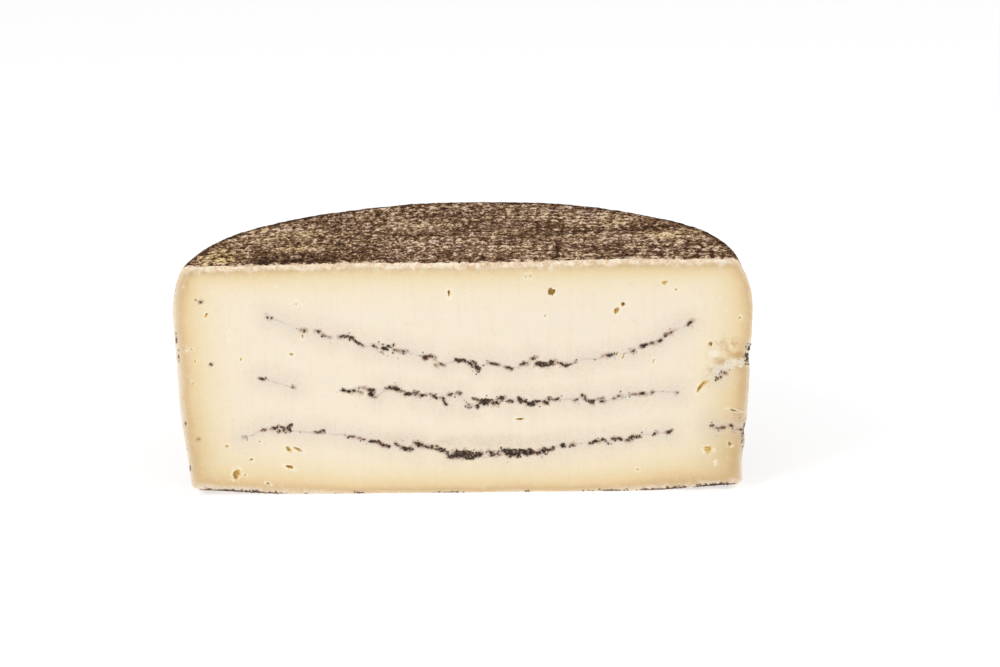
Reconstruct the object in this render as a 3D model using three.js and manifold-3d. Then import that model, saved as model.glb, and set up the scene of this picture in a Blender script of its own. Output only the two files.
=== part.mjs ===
// Half a wheel of aged sheep's cheese, cut straight through its middle, with three thin saucers of
// black truffle pressed into the paste. Millimetres, +Z up. The cut face looks along -Y and the wheel's
// axis stands in the cut plane. The origin is the middle of the half wheel's box, on its base.

import * as THREE from "three";
import { mergeVertices } from "three/addons/utils/BufferGeometryUtils.js";
import Module from "manifold-3d";

const wasm = await Module();
wasm.setup();

// The wheel, from which everything else is worked out
const wheelRadius = 105;
const wheelHeight = 88.4;
const cutPlaneY = -wheelRadius / 2;

// The side bulges to its full radius at the belly, and draws in above it and below it
const bellyHeight = 0.78 * wheelHeight;
const shoulderSetback = 6.6;
const shoulderFullness = 1.7;
const footTaper = 3.3;
const footTaperCurve = 1.25;
const footCornerRadius = 3.2;

// The base is flat in its middle and lifts a little towards the foot
const flatRadius = 0.55 * wheelRadius;
const footLift = 2.1;

// Hand pressing leaves the outline and the top slightly uneven
const outlineUnevenness = 0.45;
const topUnevenness = 0.5;

// A fold in the rind beside the right end of the cut, and a smaller one below it
const folds = [
  { height: 51.5, depth: 1.4, halfHeight: 3.4, halfLength: 16 },
  { height: 23, depth: 0.7, halfHeight: 2.6, halfLength: 12 },
];

const segmentsRound = 120;
const topRings = 8;
const shoulderSteps = 6;
const sideSteps = 16;
const cornerSteps = 3;
const baseRings = 5;

// Truffle saucers. Each shows at the cut in runs, and between runs the curd has closed over its edge.
const layerGap = 0.3;
const closedDepth = 3;
const layerColumnWidth = 3;
const layerRows = 5;
const truffleLayers = [
  {
    name: "truffle_layer_upper",
    lowest: 48.5,
    lowestX: 5,
    reach: { left: 74, right: 84, back: 78 },
    rise: { left: 18.7, right: 16.1 },
    power: { left: 1.55, right: 2.6 },
    runs: [[-74, -70], [-58, -18], [-15, 36], [48, 74], [80, 84]],
  },
  {
    name: "truffle_layer_middle",
    lowest: 35.1,
    lowestX: 12,
    reach: { left: 77, right: 71, back: 75 },
    rise: { left: 9.8, right: 3.3 },
    power: { left: 1.2, right: 2.2 },
    runs: [[-77, -70], [-46, -9], [-6, 32], [38, 71]],
  },
  {
    name: "truffle_layer_lower",
    lowest: 14.7,
    lowestX: 2.4,
    reach: { left: 71, right: 79, back: 76 },
    rise: { left: 10.6, right: 7.7 },
    power: { left: 1.3, right: 1.5 },
    runs: [[-71, -61], [-56, -38], [-34, 42], [48, 79]],
  },
];
const layerThickness = 1.5;
const layerSwelling = 0.8;
const layerWave = 0.5;

// The eyes that show as holes in the cut face: where, how wide, how high, how deep, and their lean in degrees
const eyes = [
  { x: 32.7, z: 76.2, width: 2.4, height: 2.3, depth: 2.0, lean: 0 },
  { x: -4.4, z: 76, width: 1.9, height: 3.8, depth: 1.5, lean: 6 },
  { x: 57.3, z: 69.5, width: 2.4, height: 4.0, depth: 2.0, lean: 35 },
  { x: 73.6, z: 80.9, width: 2.4, height: 1.9, depth: 1.2, lean: 0 },
  { x: 89, z: 56.2, width: 2.2, height: 2.4, depth: 1.8, lean: 0 },
  { x: 86.3, z: 39.5, width: 2.2, height: 6.0, depth: 2.4, lean: 40 },
  { x: 88.3, z: 15.5, width: 3.8, height: 2.9, depth: 2.4, lean: 15 },
  { x: 20.5, z: 28.2, width: 3.4, height: 1.2, depth: 1.4, lean: 0 },
  { x: -83.9, z: 8.8, width: 3.0, height: 5.2, depth: 2.4, lean: -18 },
  { x: -64.3, z: 17.8, width: 2.6, height: 1.8, depth: 1.5, lean: 20 },
  { x: -63.7, z: 11.4, width: 3.4, height: 1.4, depth: 1.4, lean: 15 },
  { x: -59.9, z: 73, width: 3.4, height: 3.4, depth: 1.0, lean: 0 },
];
const eyeSides = 10;
const eyeRings = 6;

const mix = (a, b, share) => a + (b - a) * share;

const smooth = (low, high, value) => {
  const t = THREE.MathUtils.clamp((value - low) / (high - low), 0, 1);
  return t * t * (3 - 2 * t);
};

// A geometry of merged vertices, without the slivers that a lathe leaves on its axis, as a solid
function solidFrom(geometry) {
  const bare = geometry.clone();
  bare.deleteAttribute("normal");
  bare.deleteAttribute("uv");
  const merged = mergeVertices(bare, 1e-4);
  const corners = merged.index.array;
  const kept = [];
  for (let i = 0; i < corners.length; i += 3) {
    const [a, b, c] = corners.slice(i, i + 3);
    if (a !== b && b !== c && c !== a) kept.push(a, b, c);
  }
  return new wasm.Manifold(new wasm.Mesh({
    numProp: 3,
    vertProperties: new Float32Array(merged.attributes.position.array),
    triVerts: new Uint32Array(kept),
  }));
}

function geometryFrom(solid) {
  const mesh = solid.getMesh();
  const geometry = new THREE.BufferGeometry();
  geometry.setAttribute("position", new THREE.BufferAttribute(mesh.vertProperties, 3));
  geometry.setIndex(new THREE.BufferAttribute(mesh.triVerts, 1));
  geometry.computeVertexNormals();
  return geometry;
}

// The wheel's section from the middle of its base out, up the side and back in to the middle of its top
function wheelSection() {
  const section = [];
  const footRadius = wheelRadius - footTaper;
  for (let i = 0; i <= baseRings; i++) {
    section.push(new THREE.Vector2((footRadius - footCornerRadius) * (i / baseRings), 0));
  }
  for (let i = 1; i <= cornerSteps; i++) {
    const turn = (Math.PI / 2) * (i / cornerSteps);
    section.push(new THREE.Vector2(
      footRadius - footCornerRadius * (1 - Math.sin(turn)),
      footCornerRadius * (1 - Math.cos(turn)),
    ));
  }
  for (let i = 1; i <= sideSteps; i++) {
    const share = i / sideSteps;
    const height = mix(footCornerRadius, bellyHeight, share);
    section.push(new THREE.Vector2(wheelRadius - footTaper * (1 - share) ** footTaperCurve, height));
  }
  for (let i = 1; i <= shoulderSteps; i++) {
    const turn = (Math.PI / 2) * (i / shoulderSteps);
    section.push(new THREE.Vector2(
      wheelRadius - shoulderSetback * (1 - Math.cos(turn) ** (2 / shoulderFullness)),
      bellyHeight + (wheelHeight - bellyHeight) * Math.sin(turn) ** (2 / shoulderFullness),
    ));
  }
  const rimRadius = wheelRadius - shoulderSetback;
  for (let i = 1; i <= topRings; i++) {
    section.push(new THREE.Vector2(rimRadius * (1 - i / topRings), wheelHeight));
  }
  return section;
}

// Moves one point of the true wheel to where it is on the pressed, handled one
function pressed(point) {
  const angle = Math.atan2(point.y, point.x);
  const radius = Math.hypot(point.x, point.y);
  const outer = smooth(0.4, 0.95, radius / wheelRadius);
  const freeOfEnds = Math.sin(2 * angle) ** 2;
  let outward = outlineUnevenness * freeOfEnds * Math.sin(5 * angle + 0.6);
  outward += 0.5 * outlineUnevenness * freeOfEnds * Math.sin(11 * angle + 2.1);
  for (const fold of folds) {
    const along = (Math.abs(angle) * wheelRadius) / fold.halfLength;
    const across = (point.z - fold.height) / fold.halfHeight;
    outward -= fold.depth * Math.exp(-along * along - across * across);
  }
  const grown = radius > 0 ? 1 + (outer * outward) / radius : 1;
  const lift = footLift * smooth(flatRadius, wheelRadius, radius) ** 1.3;
  const nearBase = 1 - smooth(0, footCornerRadius * 2, point.z);
  const nearTop = smooth(wheelHeight - 4, wheelHeight, point.z);
  const dip = 0.5 * topUnevenness * (1 + Math.sin(point.x / 15 + 1) * Math.cos(point.y / 19));
  point.x *= grown;
  point.y *= grown;
  point.z += nearBase * lift - nearTop * dip;
  return point;
}

function wheel() {
  const geometry = new THREE.LatheGeometry(wheelSection(), segmentsRound);
  geometry.rotateX(Math.PI / 2);
  const places = geometry.attributes.position;
  const point = new THREE.Vector3();
  for (let i = 0; i < places.count; i++) {
    pressed(point.fromBufferAttribute(places, i));
    places.setXYZ(i, point.x, point.y, point.z);
  }
  return solidFrom(geometry);
}

// Height of a truffle saucer's middle surface over the wheel's base
function saucerHeight(layer, x, y) {
  const dx = x - layer.lowestX;
  const away = Math.hypot(dx, y);
  const rightward = away > 0 ? 0.5 + (0.5 * dx) / away : 0.5;
  const rise = mix(layer.rise.left, layer.rise.right, rightward);
  const power = mix(layer.power.left, layer.power.right, rightward);
  const wave = Math.sin(x / 7 + layer.lowest) * Math.cos(y / 9 + layer.lowestX);
  return layer.lowest + rise * (away / layer.reach.back) ** power + layerWave * wave;
}

function saucerThickness(layer, x, y) {
  return layerThickness + layerSwelling * Math.sin(x / 4.3 + layer.lowest) * Math.cos(y / 5.1);
}

// A saucer as a closed sheet of columns across the cut, each running back into the cheese.
// Grown by some clearance, it is the slot that the saucer lies in, and its runs break through the cut.
function saucer(layer, grow) {
  const { left, right, back } = layer.reach;
  const columns = Math.round((left + right) / layerColumnWidth);
  const middle = (right - left) / 2;
  const halfWidth = (left + right) / 2;
  const places = [];
  for (let i = 0; i <= columns; i++) {
    const x = mix(-left, right, i / columns);
    const shows = layer.runs.some(([from, to]) => x >= from - 0.01 && x <= to + 0.01);
    const across = THREE.MathUtils.clamp((x - middle) / halfWidth, -1, 1);
    const ragged = 2.2 * Math.sin(x * 0.55 + layer.lowest) + 1.4 * Math.sin(x * 1.3);
    const frontY = shows ? 0 : closedDepth;
    const backY = Math.max(back * Math.sqrt(1 - across * across) + ragged, frontY + 3);
    const end = i === 0 ? -grow : i === columns ? grow : 0;
    for (let j = 0; j <= layerRows; j++) {
      const y = mix(frontY, backY, (j / layerRows) ** 1.5);
      const middleZ = saucerHeight(layer, x, y);
      const half = saucerThickness(layer, x, y) / 2 + grow;
      const front = shows ? -3 * grow : -grow;
      const edge = j === 0 ? front : j === layerRows ? grow : 0;
      places.push(x + end, y + edge, middleZ - half, x + end, y + edge, middleZ + half);
    }
  }
  const corners = [];
  const under = (i, j) => 2 * (i * (layerRows + 1) + j);
  const over = (i, j) => under(i, j) + 1;
  const quad = (a, b, c, d) => corners.push(a, b, c, a, c, d);
  for (let i = 0; i < columns; i++) {
    for (let j = 0; j < layerRows; j++) {
      quad(over(i, j), over(i + 1, j), over(i + 1, j + 1), over(i, j + 1));
      quad(under(i, j), under(i, j + 1), under(i + 1, j + 1), under(i + 1, j));
    }
    quad(under(i, 0), under(i + 1, 0), over(i + 1, 0), over(i, 0));
    quad(over(i, layerRows), over(i + 1, layerRows), under(i + 1, layerRows), under(i, layerRows));
  }
  for (let j = 0; j < layerRows; j++) {
    quad(over(0, j), over(0, j + 1), under(0, j + 1), under(0, j));
    quad(under(columns, j), under(columns, j + 1), over(columns, j + 1), over(columns, j));
  }
  const geometry = new THREE.BufferGeometry();
  geometry.setAttribute("position", new THREE.BufferAttribute(new Float32Array(places), 3));
  geometry.setIndex(corners);
  return geometry;
}

// An eye is a small lens-shaped pit whose middle lies in the cut plane
function eye({ x, z, width, height, depth, lean }) {
  const geometry = new THREE.SphereGeometry(1, eyeSides, eyeRings);
  geometry.scale(width / 2, depth, height / 2);
  geometry.rotateY(THREE.MathUtils.degToRad(lean));
  geometry.translate(x, 0, z);
  return solidFrom(geometry);
}

// Everything in front of the knife's cut
function cutAway() {
  const geometry = new THREE.BoxGeometry(3 * wheelRadius, 2 * wheelRadius, 2 * wheelHeight);
  geometry.translate(0, -wheelRadius, wheelHeight / 2);
  return solidFrom(geometry);
}

function cheese() {
  let solid = wheel().subtract(cutAway());
  for (const layer of truffleLayers) solid = solid.subtract(solidFrom(saucer(layer, layerGap)));
  for (const each of eyes) solid = solid.subtract(eye(each));
  return geometryFrom(solid);
}

const halfWheel = new THREE.Group();
halfWheel.position.y = cutPlaneY;

const cheeseMesh = new THREE.Mesh(
  cheese(),
  new THREE.MeshStandardMaterial({ color: 0xf0e2c4, roughness: 0.5, metalness: 0 }),
);
cheeseMesh.name = "cheese";
halfWheel.add(cheeseMesh);

const truffle = new THREE.MeshStandardMaterial({ color: 0x2a1a12, roughness: 0.75, metalness: 0 });
for (const layer of truffleLayers) {
  const geometry = saucer(layer, 0);
  geometry.computeVertexNormals();
  const mesh = new THREE.Mesh(geometry, truffle.clone());
  mesh.name = layer.name;
  halfWheel.add(mesh);
}

const object = new THREE.Group();
object.add(halfWheel);
export default object;
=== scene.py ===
# %% [markdown]
# # Half a wheel of truffle sheep's cheese
#
# An aged sheep's cheese, cut through its middle. The paste is ivory in the middle and straw yellow near
# the rind, three thin layers of chopped black truffle run through it, and the rind is dark and dry, with
# the marks of the net that the curd was pressed in.
#
# The solids of the cheese are fixed already. This script loads them as a frame and dresses them: a new
# mesh stands for each solid, in the same place and of the same size, with far finer form than the solid
# has.

# %% Load the frame
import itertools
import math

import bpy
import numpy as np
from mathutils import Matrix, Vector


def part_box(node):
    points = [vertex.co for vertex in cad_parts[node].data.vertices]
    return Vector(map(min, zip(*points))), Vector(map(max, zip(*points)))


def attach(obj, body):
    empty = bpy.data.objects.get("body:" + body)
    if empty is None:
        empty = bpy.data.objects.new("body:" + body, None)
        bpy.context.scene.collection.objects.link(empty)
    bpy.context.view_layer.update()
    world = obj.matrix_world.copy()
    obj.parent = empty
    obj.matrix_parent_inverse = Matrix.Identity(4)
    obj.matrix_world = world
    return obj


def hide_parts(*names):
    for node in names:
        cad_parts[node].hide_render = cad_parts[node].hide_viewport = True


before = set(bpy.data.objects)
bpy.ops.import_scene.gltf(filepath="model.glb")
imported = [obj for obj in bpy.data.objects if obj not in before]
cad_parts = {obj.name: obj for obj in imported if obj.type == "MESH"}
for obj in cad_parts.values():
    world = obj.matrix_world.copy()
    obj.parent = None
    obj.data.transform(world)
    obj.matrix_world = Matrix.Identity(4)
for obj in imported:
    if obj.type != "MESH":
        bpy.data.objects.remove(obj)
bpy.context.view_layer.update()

# %% [markdown]
# ## Units and measures
#
# Blender works in metres, and a cheese is easier to think about in millimetres. So every length below is
# in millimetres until a mesh is made, and the sizes of the wheel are read from the frame, so that the
# dressed cheese can't drift away from its solid. The wheel's axis stands in the cut plane, so shapes are
# worked out round that axis, with y = 0 at the cut, and are moved to the cut's place in the frame when a
# mesh is made.

MM = 0.001
low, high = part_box("cheese")
RADIUS = (high.y - low.y) / MM
HEIGHT = (high.z - low.z) / MM
CUT_Y = low.y / MM

BELLY = 0.78 * HEIGHT
SHOULDER_SETBACK = 6.6
SHOULDER_FULLNESS = 1.7
FOOT_TAPER = 3.3
FOOT_TAPER_CURVE = 1.25
FOOT_CORNER = 3.2
FLAT_RADIUS = 0.55 * RADIUS
FOOT_LIFT = 2.1
RIM_RADIUS = RADIUS - SHOULDER_SETBACK
FOOT_RADIUS = RADIUS - FOOT_TAPER - FOOT_CORNER
print(f"wheel: radius {RADIUS:.1f} mm, height {HEIGHT:.1f} mm, cut at y {CUT_Y:.1f} mm")


# %% [markdown]
# ## Unevenness
#
# Nothing on a cheese is regular, so nearly every form below is nudged by noise. Blender's noise textures
# only exist inside shaders and node trees. Here the same kind of noise is needed for whole arrays of
# points, so it is written out: each corner of a lattice gets a repeatable random number, and a point
# blends its eight corners.

# %% Noise helpers
FAR = 99.0


def chance(cell, seed=0):
    """A repeatable random number from -1 to 1 for each whole-numbered place."""
    mixed = np.sin(cell @ np.array([12.9898, 78.233, 37.719]) + 4.7 * seed) * 43758.5453
    return 2 * (mixed - np.floor(mixed)) - 1


def noise(points, size, seed=0):
    """Smooth noise from -1 to 1 whose lumps are about size millimetres wide."""
    place = points / size
    corner = np.floor(place)
    share = place - corner
    share = share * share * (3 - 2 * share)
    total = np.zeros(points.shape[:-1])
    for step in itertools.product((0, 1), repeat=3):
        weight = np.prod(np.where(step, share, 1 - share), axis=-1)
        total += weight * chance(corner + np.array(step), seed)
    return total


def smooth(start, end, value):
    """0 up to start and 1 from end, with a soft rise between."""
    share = np.clip((value - start) / (end - start), 0, 1)
    return share * share * (3 - 2 * share)


def mix(a, b, share):
    return a + (b - a) * share


def bell(*shares):
    """1 where all the shares are 0, and softly less as any of them nears 1 or more."""
    return np.exp(-sum(share**2 for share in shares))


def stack(*columns):
    return np.stack(np.broadcast_arrays(*columns), axis=-1).astype(float)


# %% [markdown]
# ## The form of the wheel
#
# The wheel is a turned form that was then pressed and handled. Its section runs down from the rim of the
# top, over the shoulder, down the side and round the foot. One function moves a point of the turned form
# to where it is on the real one: the outline wavers, two folds dent the side beside the right end of the
# cut, the top dips and the base lifts towards the foot. These are the rules that the solid was made by,
# so the two agree to within a millimetre. New here are only a shallower upper fold, as its skin is
# modelled apart, two faint hollows above and below the folds, and a faint swelling beside the left end,
# which is a dent of negative depth.

# %% Section and pressing
RIGHT_END, LEFT_END = 0, math.pi
DENTS = [
    {"end": RIGHT_END, "height": 51.5, "depth": 0.8, "half_height": 3.4, "half_length": 16},
    {"end": RIGHT_END, "height": 23.0, "depth": 0.7, "half_height": 2.6, "half_length": 12},
    {"end": RIGHT_END, "height": 84.0, "depth": 0.8, "half_height": 4.5, "half_length": 18},
    {"end": RIGHT_END, "height": 11.5, "depth": 0.8, "half_height": 6, "half_length": 16},
    {"end": LEFT_END, "height": 33.0, "depth": -0.9, "half_height": 15, "half_length": 30},
]
OUTLINE_UNEVENNESS = 0.45
TOP_UNEVENNESS = 0.5


def section(cell):
    """Radius, height and outward direction of points down the wheel's side, about cell apart."""
    turn = np.linspace(math.pi / 2, 0, 60)
    power = 2 / SHOULDER_FULLNESS
    radius = [RADIUS - SHOULDER_SETBACK * (1 - np.cos(turn) ** power)]
    height = [BELLY + (HEIGHT - BELLY) * np.sin(turn) ** power]
    share = np.linspace(1, 0, 80)
    radius.append(RADIUS - FOOT_TAPER * (1 - share) ** FOOT_TAPER_CURVE)
    height.append(mix(FOOT_CORNER, BELLY, share))
    turn = np.linspace(math.pi / 2, 0, 20)
    radius.append(FOOT_RADIUS + FOOT_CORNER * np.sin(turn))
    height.append(FOOT_CORNER * (1 - np.cos(turn)))
    radius, height = np.concatenate(radius), np.concatenate(height)
    along = np.concatenate([[0], np.cumsum(np.hypot(np.diff(radius), np.diff(height)))])
    even = np.linspace(0, along[-1], max(3, round(along[-1] / cell)) + 1)
    radius, height = np.interp(even, along, radius), np.interp(even, along, height)
    out = stack(-np.gradient(height), np.gradient(radius))
    out /= np.linalg.norm(out, axis=-1, keepdims=True)
    out[0], out[-1] = (0, 1), (0, -1)
    return radius, height, out


def pressed(points):
    """Where points of the turned wheel are on the pressed, handled one."""
    x, y, z = points[..., 0], points[..., 1], points[..., 2]
    angle = np.arctan2(y, x)
    radius = np.hypot(x, y)
    outer = smooth(0.4, 0.95, radius / RADIUS)
    free_of_ends = np.sin(2 * angle) ** 2
    outward = OUTLINE_UNEVENNESS * free_of_ends * np.sin(5 * angle + 0.6)
    outward += 0.5 * OUTLINE_UNEVENNESS * free_of_ends * np.sin(11 * angle + 2.1)
    for dent in DENTS:
        along = np.abs(np.abs(angle) - dent["end"]) * RADIUS / dent["half_length"]
        across = (z - dent["height"]) / dent["half_height"]
        outward -= dent["depth"] * bell(along, across)
    grown = 1 + outer * outward / np.maximum(radius, 1)
    lift = FOOT_LIFT * smooth(FLAT_RADIUS, RADIUS, radius) ** 1.3
    near_base = 1 - smooth(0, FOOT_CORNER * 2, z)
    near_top = smooth(HEIGHT - 4, HEIGHT, z)
    dip = 0.5 * TOP_UNEVENNESS * (1 + np.sin(x / 15 + 1) * np.cos(y / 19))
    return stack(x * grown, y * grown, z + near_base * lift - near_top * dip)


# %% [markdown]
# ## Closed solids from curved patches
#
# Each piece of the cheese has one side that matters and other sides that stay hidden. So a piece starts
# as a curved patch, a grid of points, and a fan of faces runs from the edge of the patch to one point
# behind it. That closes it to a solid, and a Boolean then cuts the solid to its piece. The patches of
# top, side and base share their edges and the point behind them, so the pieces meet without a gap and
# without overlapping.

# %% Solid and Boolean helpers
SKIN, FLESH = 0, 1
SHARP_ANGLE = 50


def material(name):
    """The material of that name, made when it is first asked for."""
    return bpy.data.materials.get(name) or bpy.data.materials.new(name)


def new_object(name, data):
    made = bpy.data.objects.new(name, data)
    bpy.context.scene.collection.objects.link(made)
    return made


def solid(name, points, faces, kinds=None):
    """An object from points in millimetres round the wheel's axis, and faces with a finish each."""
    mesh = bpy.data.meshes.new(name)
    mesh.from_pydata(((points + [0, CUT_Y, 0]) * MM).tolist(), [], faces)
    mesh.materials.append(material("skin"))
    mesh.materials.append(material("flesh"))
    mesh.polygons.foreach_set("material_index", np.full(len(faces), FLESH) if kinds is None else kinds)
    mesh.update()
    return new_object(name, mesh)


def numbered(rows, columns):
    """The numbers of a grid's points."""
    return np.arange(rows * columns).reshape(rows, columns)


def grid_faces(at):
    """Faces with four corners over a grid of point numbers."""
    return np.stack([at[:-1, :-1], at[1:, :-1], at[1:, 1:], at[:-1, 1:]], axis=-1).reshape(-1, 4)


def grid_edge(at):
    """The point numbers round the edge of a grid."""
    return np.concatenate([at[0], at[1:, -1], at[-1, -2::-1], at[-2:0:-1, 0]])


def ring_faces(at):
    """Faces over closed rings of point numbers, with a fan to one last point above and to one below."""
    following = np.roll(at, -1, axis=1)
    quads = np.stack([at[:-1], at[1:], following[1:], following[:-1]], axis=-1).reshape(-1, 4)
    above, below = at.size, at.size + 1
    fans = [[above, a, b] for a, b in zip(at[0], following[0])]
    fans += [[below, b, a] for a, b in zip(at[-1], following[-1])]
    return quads.tolist() + fans


def patch_solid(name, grid, behind, kind):
    """A closed solid: a curved patch, and a fan of faces from its edge to one point behind it."""
    at = numbered(*grid.shape[:2])
    quads, edge = grid_faces(at), grid_edge(at)
    fan = np.stack([edge, np.roll(edge, -1), np.full(len(edge), at.size)], axis=-1)
    points = np.concatenate([grid.reshape(-1, 3), [behind]])
    kinds = np.concatenate([np.full(len(quads), kind), np.full(len(fan), FLESH)])
    return solid(name, points, quads.tolist() + fan.tolist(), kinds)


def settled(thing):
    """The object's mesh with its modifiers applied and removed."""
    bpy.context.view_layer.update()
    shown = thing.evaluated_get(bpy.context.evaluated_depsgraph_get())
    mesh = bpy.data.meshes.new_from_object(shown)
    thing.modifiers.clear()
    thing.data = mesh
    return thing


def carve(thing, tool):
    """thing without tool, which is then thrown away."""
    modifier = thing.modifiers.new("carve", "BOOLEAN")
    modifier.operation = "DIFFERENCE"
    modifier.solver = "MANIFOLD"
    modifier.object = tool
    settled(thing)
    bpy.data.objects.remove(tool)
    return thing


def places(thing):
    """The mesh's points in millimetres round the wheel's axis."""
    flat = np.empty(len(thing.data.vertices) * 3, np.float32)
    thing.data.vertices.foreach_get("co", flat)
    return flat.reshape(-1, 3).astype(float) / MM - [0, CUT_Y, 0]


# %% [markdown]
# ## The net's imprint
#
# The curd drains in a net, and the cords of the net press a square pattern into the rind. Between the
# cords the rind bulges into small pillows, which rub pale on the shelf, while mould stays in the grooves.
# A bump map could fake that, but the pillows show at the outline of the wheel and in its mesh, so they
# are modelled: every point of the rind sinks by a depth worked out from its place in the net, less so
# beside the cut, where hands have rubbed it flat. The same rule gives the wear that the rind's finish is
# painted by, so that colour and form always agree.

# %% Imprint and wear
NET_ACROSS = 4.5
NET_ALONG = 5.2
NET_DEPTH = 0.42
SEAM_X = 35
LIGHTER_PATCHES = [
    (-88, 13, 9, 15, 0.30), (-61, 23, 10, 5.5, 0.50), (-62, 48, 14, 10, 0.26), (-74, 36, 7, 9, 0.20),
    (40, 30, 16, 8, 0.15), (78, 38, 10, 9, 0.38), (55, 62, 13, 7, 0.26), (-20, 60, 18, 9, 0.20),
]
DARKER_PATCHES = [
    (-73, 9, 6, 8, 0.34), (-62, 14, 26, 16, 0.20), (-61, 5, 8, 5, 0.22), (-38, 8, 14, 5, 0.20),
    (33, 52, 12, 9, 0.28), (47, 46, 9, 7, 0.20), (68, 49, 6, 8, 0.30), (92, 8, 6, 7, 0.25),
    (66, 9, 16, 5, 0.12),
]


def net_place(points, wrapped):
    """Coordinates in the net, in meshes: flat over top and base, wrapped round the side."""
    drift = noise(points, 17, 3)[..., None] * [1.5, 1.2] + noise(points, 5, 4)[..., None] * [1.0, 1.0]
    if wrapped:
        around = np.arctan2(points[..., 1], points[..., 0]) * RADIUS
        plain = stack(around, points[..., 2])
    else:
        plain = points[..., :2]
    return (plain + drift) / [NET_ACROSS, NET_ALONG]


def pillow(points, wrapped):
    """How far the rind bulges through the net: 1 in the middle of a mesh, 0 under the cords."""
    place = net_place(points, wrapped)
    mesh = np.floor(place)
    inside = place - mesh - 0.5
    bulge = np.prod(np.cos(math.pi * inside), axis=-1) ** 0.6
    own = chance(stack(mesh[..., 0], mesh[..., 1], 0), 2 if wrapped else 1)
    return bulge * (0.68 + 0.32 * own)


def seam_distance(points):
    """Distance from where the flat net over the top or base meets the net wrapped round the side."""
    radius = np.hypot(points[..., 0], points[..., 1])
    rim = np.where(points[..., 2] > HEIGHT / 2, RIM_RADIUS, FOOT_RADIUS)
    ledge = np.where(points[..., 2] > HEIGHT / 2, HEIGHT, 0)
    return np.hypot(radius - rim, points[..., 2] - ledge)


def patched(points, patches):
    """How strongly soft patches on the top, given by place, half sizes and strength, cover each point."""
    x, y = points[..., 0], points[..., 1]
    return sum(much * bell((x - at_x) / wide, (y - at_y) / deep) for at_x, at_y, wide, deep, much in patches)


def worn(points, wrapped):
    """Wear of the rind: about 1 where it is rubbed pale, about 0 where dark mould fills the grooves."""
    clear_of_seam = 0.35 + 0.65 * smooth(0, 5, seam_distance(points))
    plain = bell((points[..., 0] - 24) / 22, (points[..., 1] - 50) / 32)
    strength = 0.38 + 0.34 * smooth(-0.3, 0.5, noise(points, 26, 10)) + (0.14 if wrapped else 0.22 * plain)
    wear = 0.10 + strength * pillow(points, wrapped) * clear_of_seam
    longer = points * [1, 0.65, 1]
    flecks = 0.40 * noise(longer, 1.7, 5) + 0.46 * noise(longer, 0.85, 6)
    flecks *= 0.62 if wrapped else 0.90 - 0.32 * plain
    wear += flecks - 0.08 * plain + 0.12 * noise(points, 18, 7)
    # A thin band along the rim, away from the cut, is made darker.
    wear -= 0.30 * (1 - smooth(0.5, 2.6, seam_distance(points))) * smooth(4, 12, points[..., 1])
    if wrapped:
        below_rim = 1 - smooth(82.5, 86, points[..., 2])
        wear += 0.56 * (1 - smooth(2, 12, points[..., 1])) * below_rim - 0.06
    else:
        wear += patched(points, LIGHTER_PATCHES) - patched(points, DARKER_PATCHES)
        wear -= 0.16 * bell((points[..., 0] - SEAM_X + 1.5 * noise(points, 20, 8)) / 1.4)
    return wear


def chipped(points):
    """1 where the dark skin has broken away from the crust along the cut, 0 elsewhere."""
    along = points * [1, 0, 0]
    reach = 0.9 + 2.2 * noise(along, 4.5, 44) + 1.8 * noise(along, 1.4, 45) + 0.8 * noise(points, 0.9, 46)
    return 1 - smooth(-0.2, 0.2, points[..., 1] - np.clip(reach, 0.15, 4.6))


def sunk(points, wrapped):
    """How deep the rind's surface lies under the wheel's full form."""
    fade = smooth(0, 5, seam_distance(points))
    depth = NET_DEPTH * fade * (1 - pillow(points, wrapped))
    depth += 0.12 * (0.5 + noise(points, 2.2, 5)) + 0.08 * (0.5 + noise(points, 1.1, 6))
    depth += 0.08 * (1 + noise(points, 13, 9))
    on_top = np.where(points[..., 2] > HEIGHT - 1, 1.0, 0.0)
    handled = (1 - on_top) * (1 - smooth(3, 14, points[..., 1]))
    depth = depth * (1 - 0.7 * handled) + (0.05 + 0.30 * on_top) * chipped(points)
    return np.maximum(depth, 0.02)


# %% [markdown]
# ## The three parts of the rind
#
# The dark rind is made as three pieces, over the top, round the side and under the base, because each
# wants its own fineness and its own way of laying out the net. The top is a half disc. A grid of squares
# that is bent into a half disc keeps its cells much the same size everywhere, which a grid of rings and
# spokes would not.

# %% Patches of the rind
MARGIN = 2
HEART = (0, -6, 0.5 * HEIGHT)


def half_disc(columns):
    """A grid of points over half a disc of radius 1, from its right end to its left and back from the cut."""
    across, back = np.meshgrid(np.linspace(1, -1, columns + 1), np.linspace(0, 1, columns // 2 + 1))
    return stack(across * np.sqrt(1 - back**2 / 2), back * np.sqrt(1 - across**2 / 2))


def rim(grid):
    """The round edge of a half disc's grid, from its right end to its left."""
    return np.concatenate([grid[:-1, 0], grid[-1, :], grid[-2::-1, -1]])


def before_cut(points):
    """Points moved a little way in front of the cut plane, where the knife takes them off."""
    return points - [0, MARGIN, 0]


def lid_patch(cell, top):
    """The top of the wheel, or its base, as a grid."""
    radius = RIM_RADIUS if top else FOOT_RADIUS
    plan = half_disc(2 * round(radius / cell)) * radius
    points = pressed(stack(plan[..., 0], plan[..., 1], HEIGHT if top else 0))
    points[..., 2] += sunk(points, wrapped=False) * (-1 if top else 1)
    points = np.concatenate([before_cut(points[:1]), points])
    return points if top else points[:, ::-1]


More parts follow.
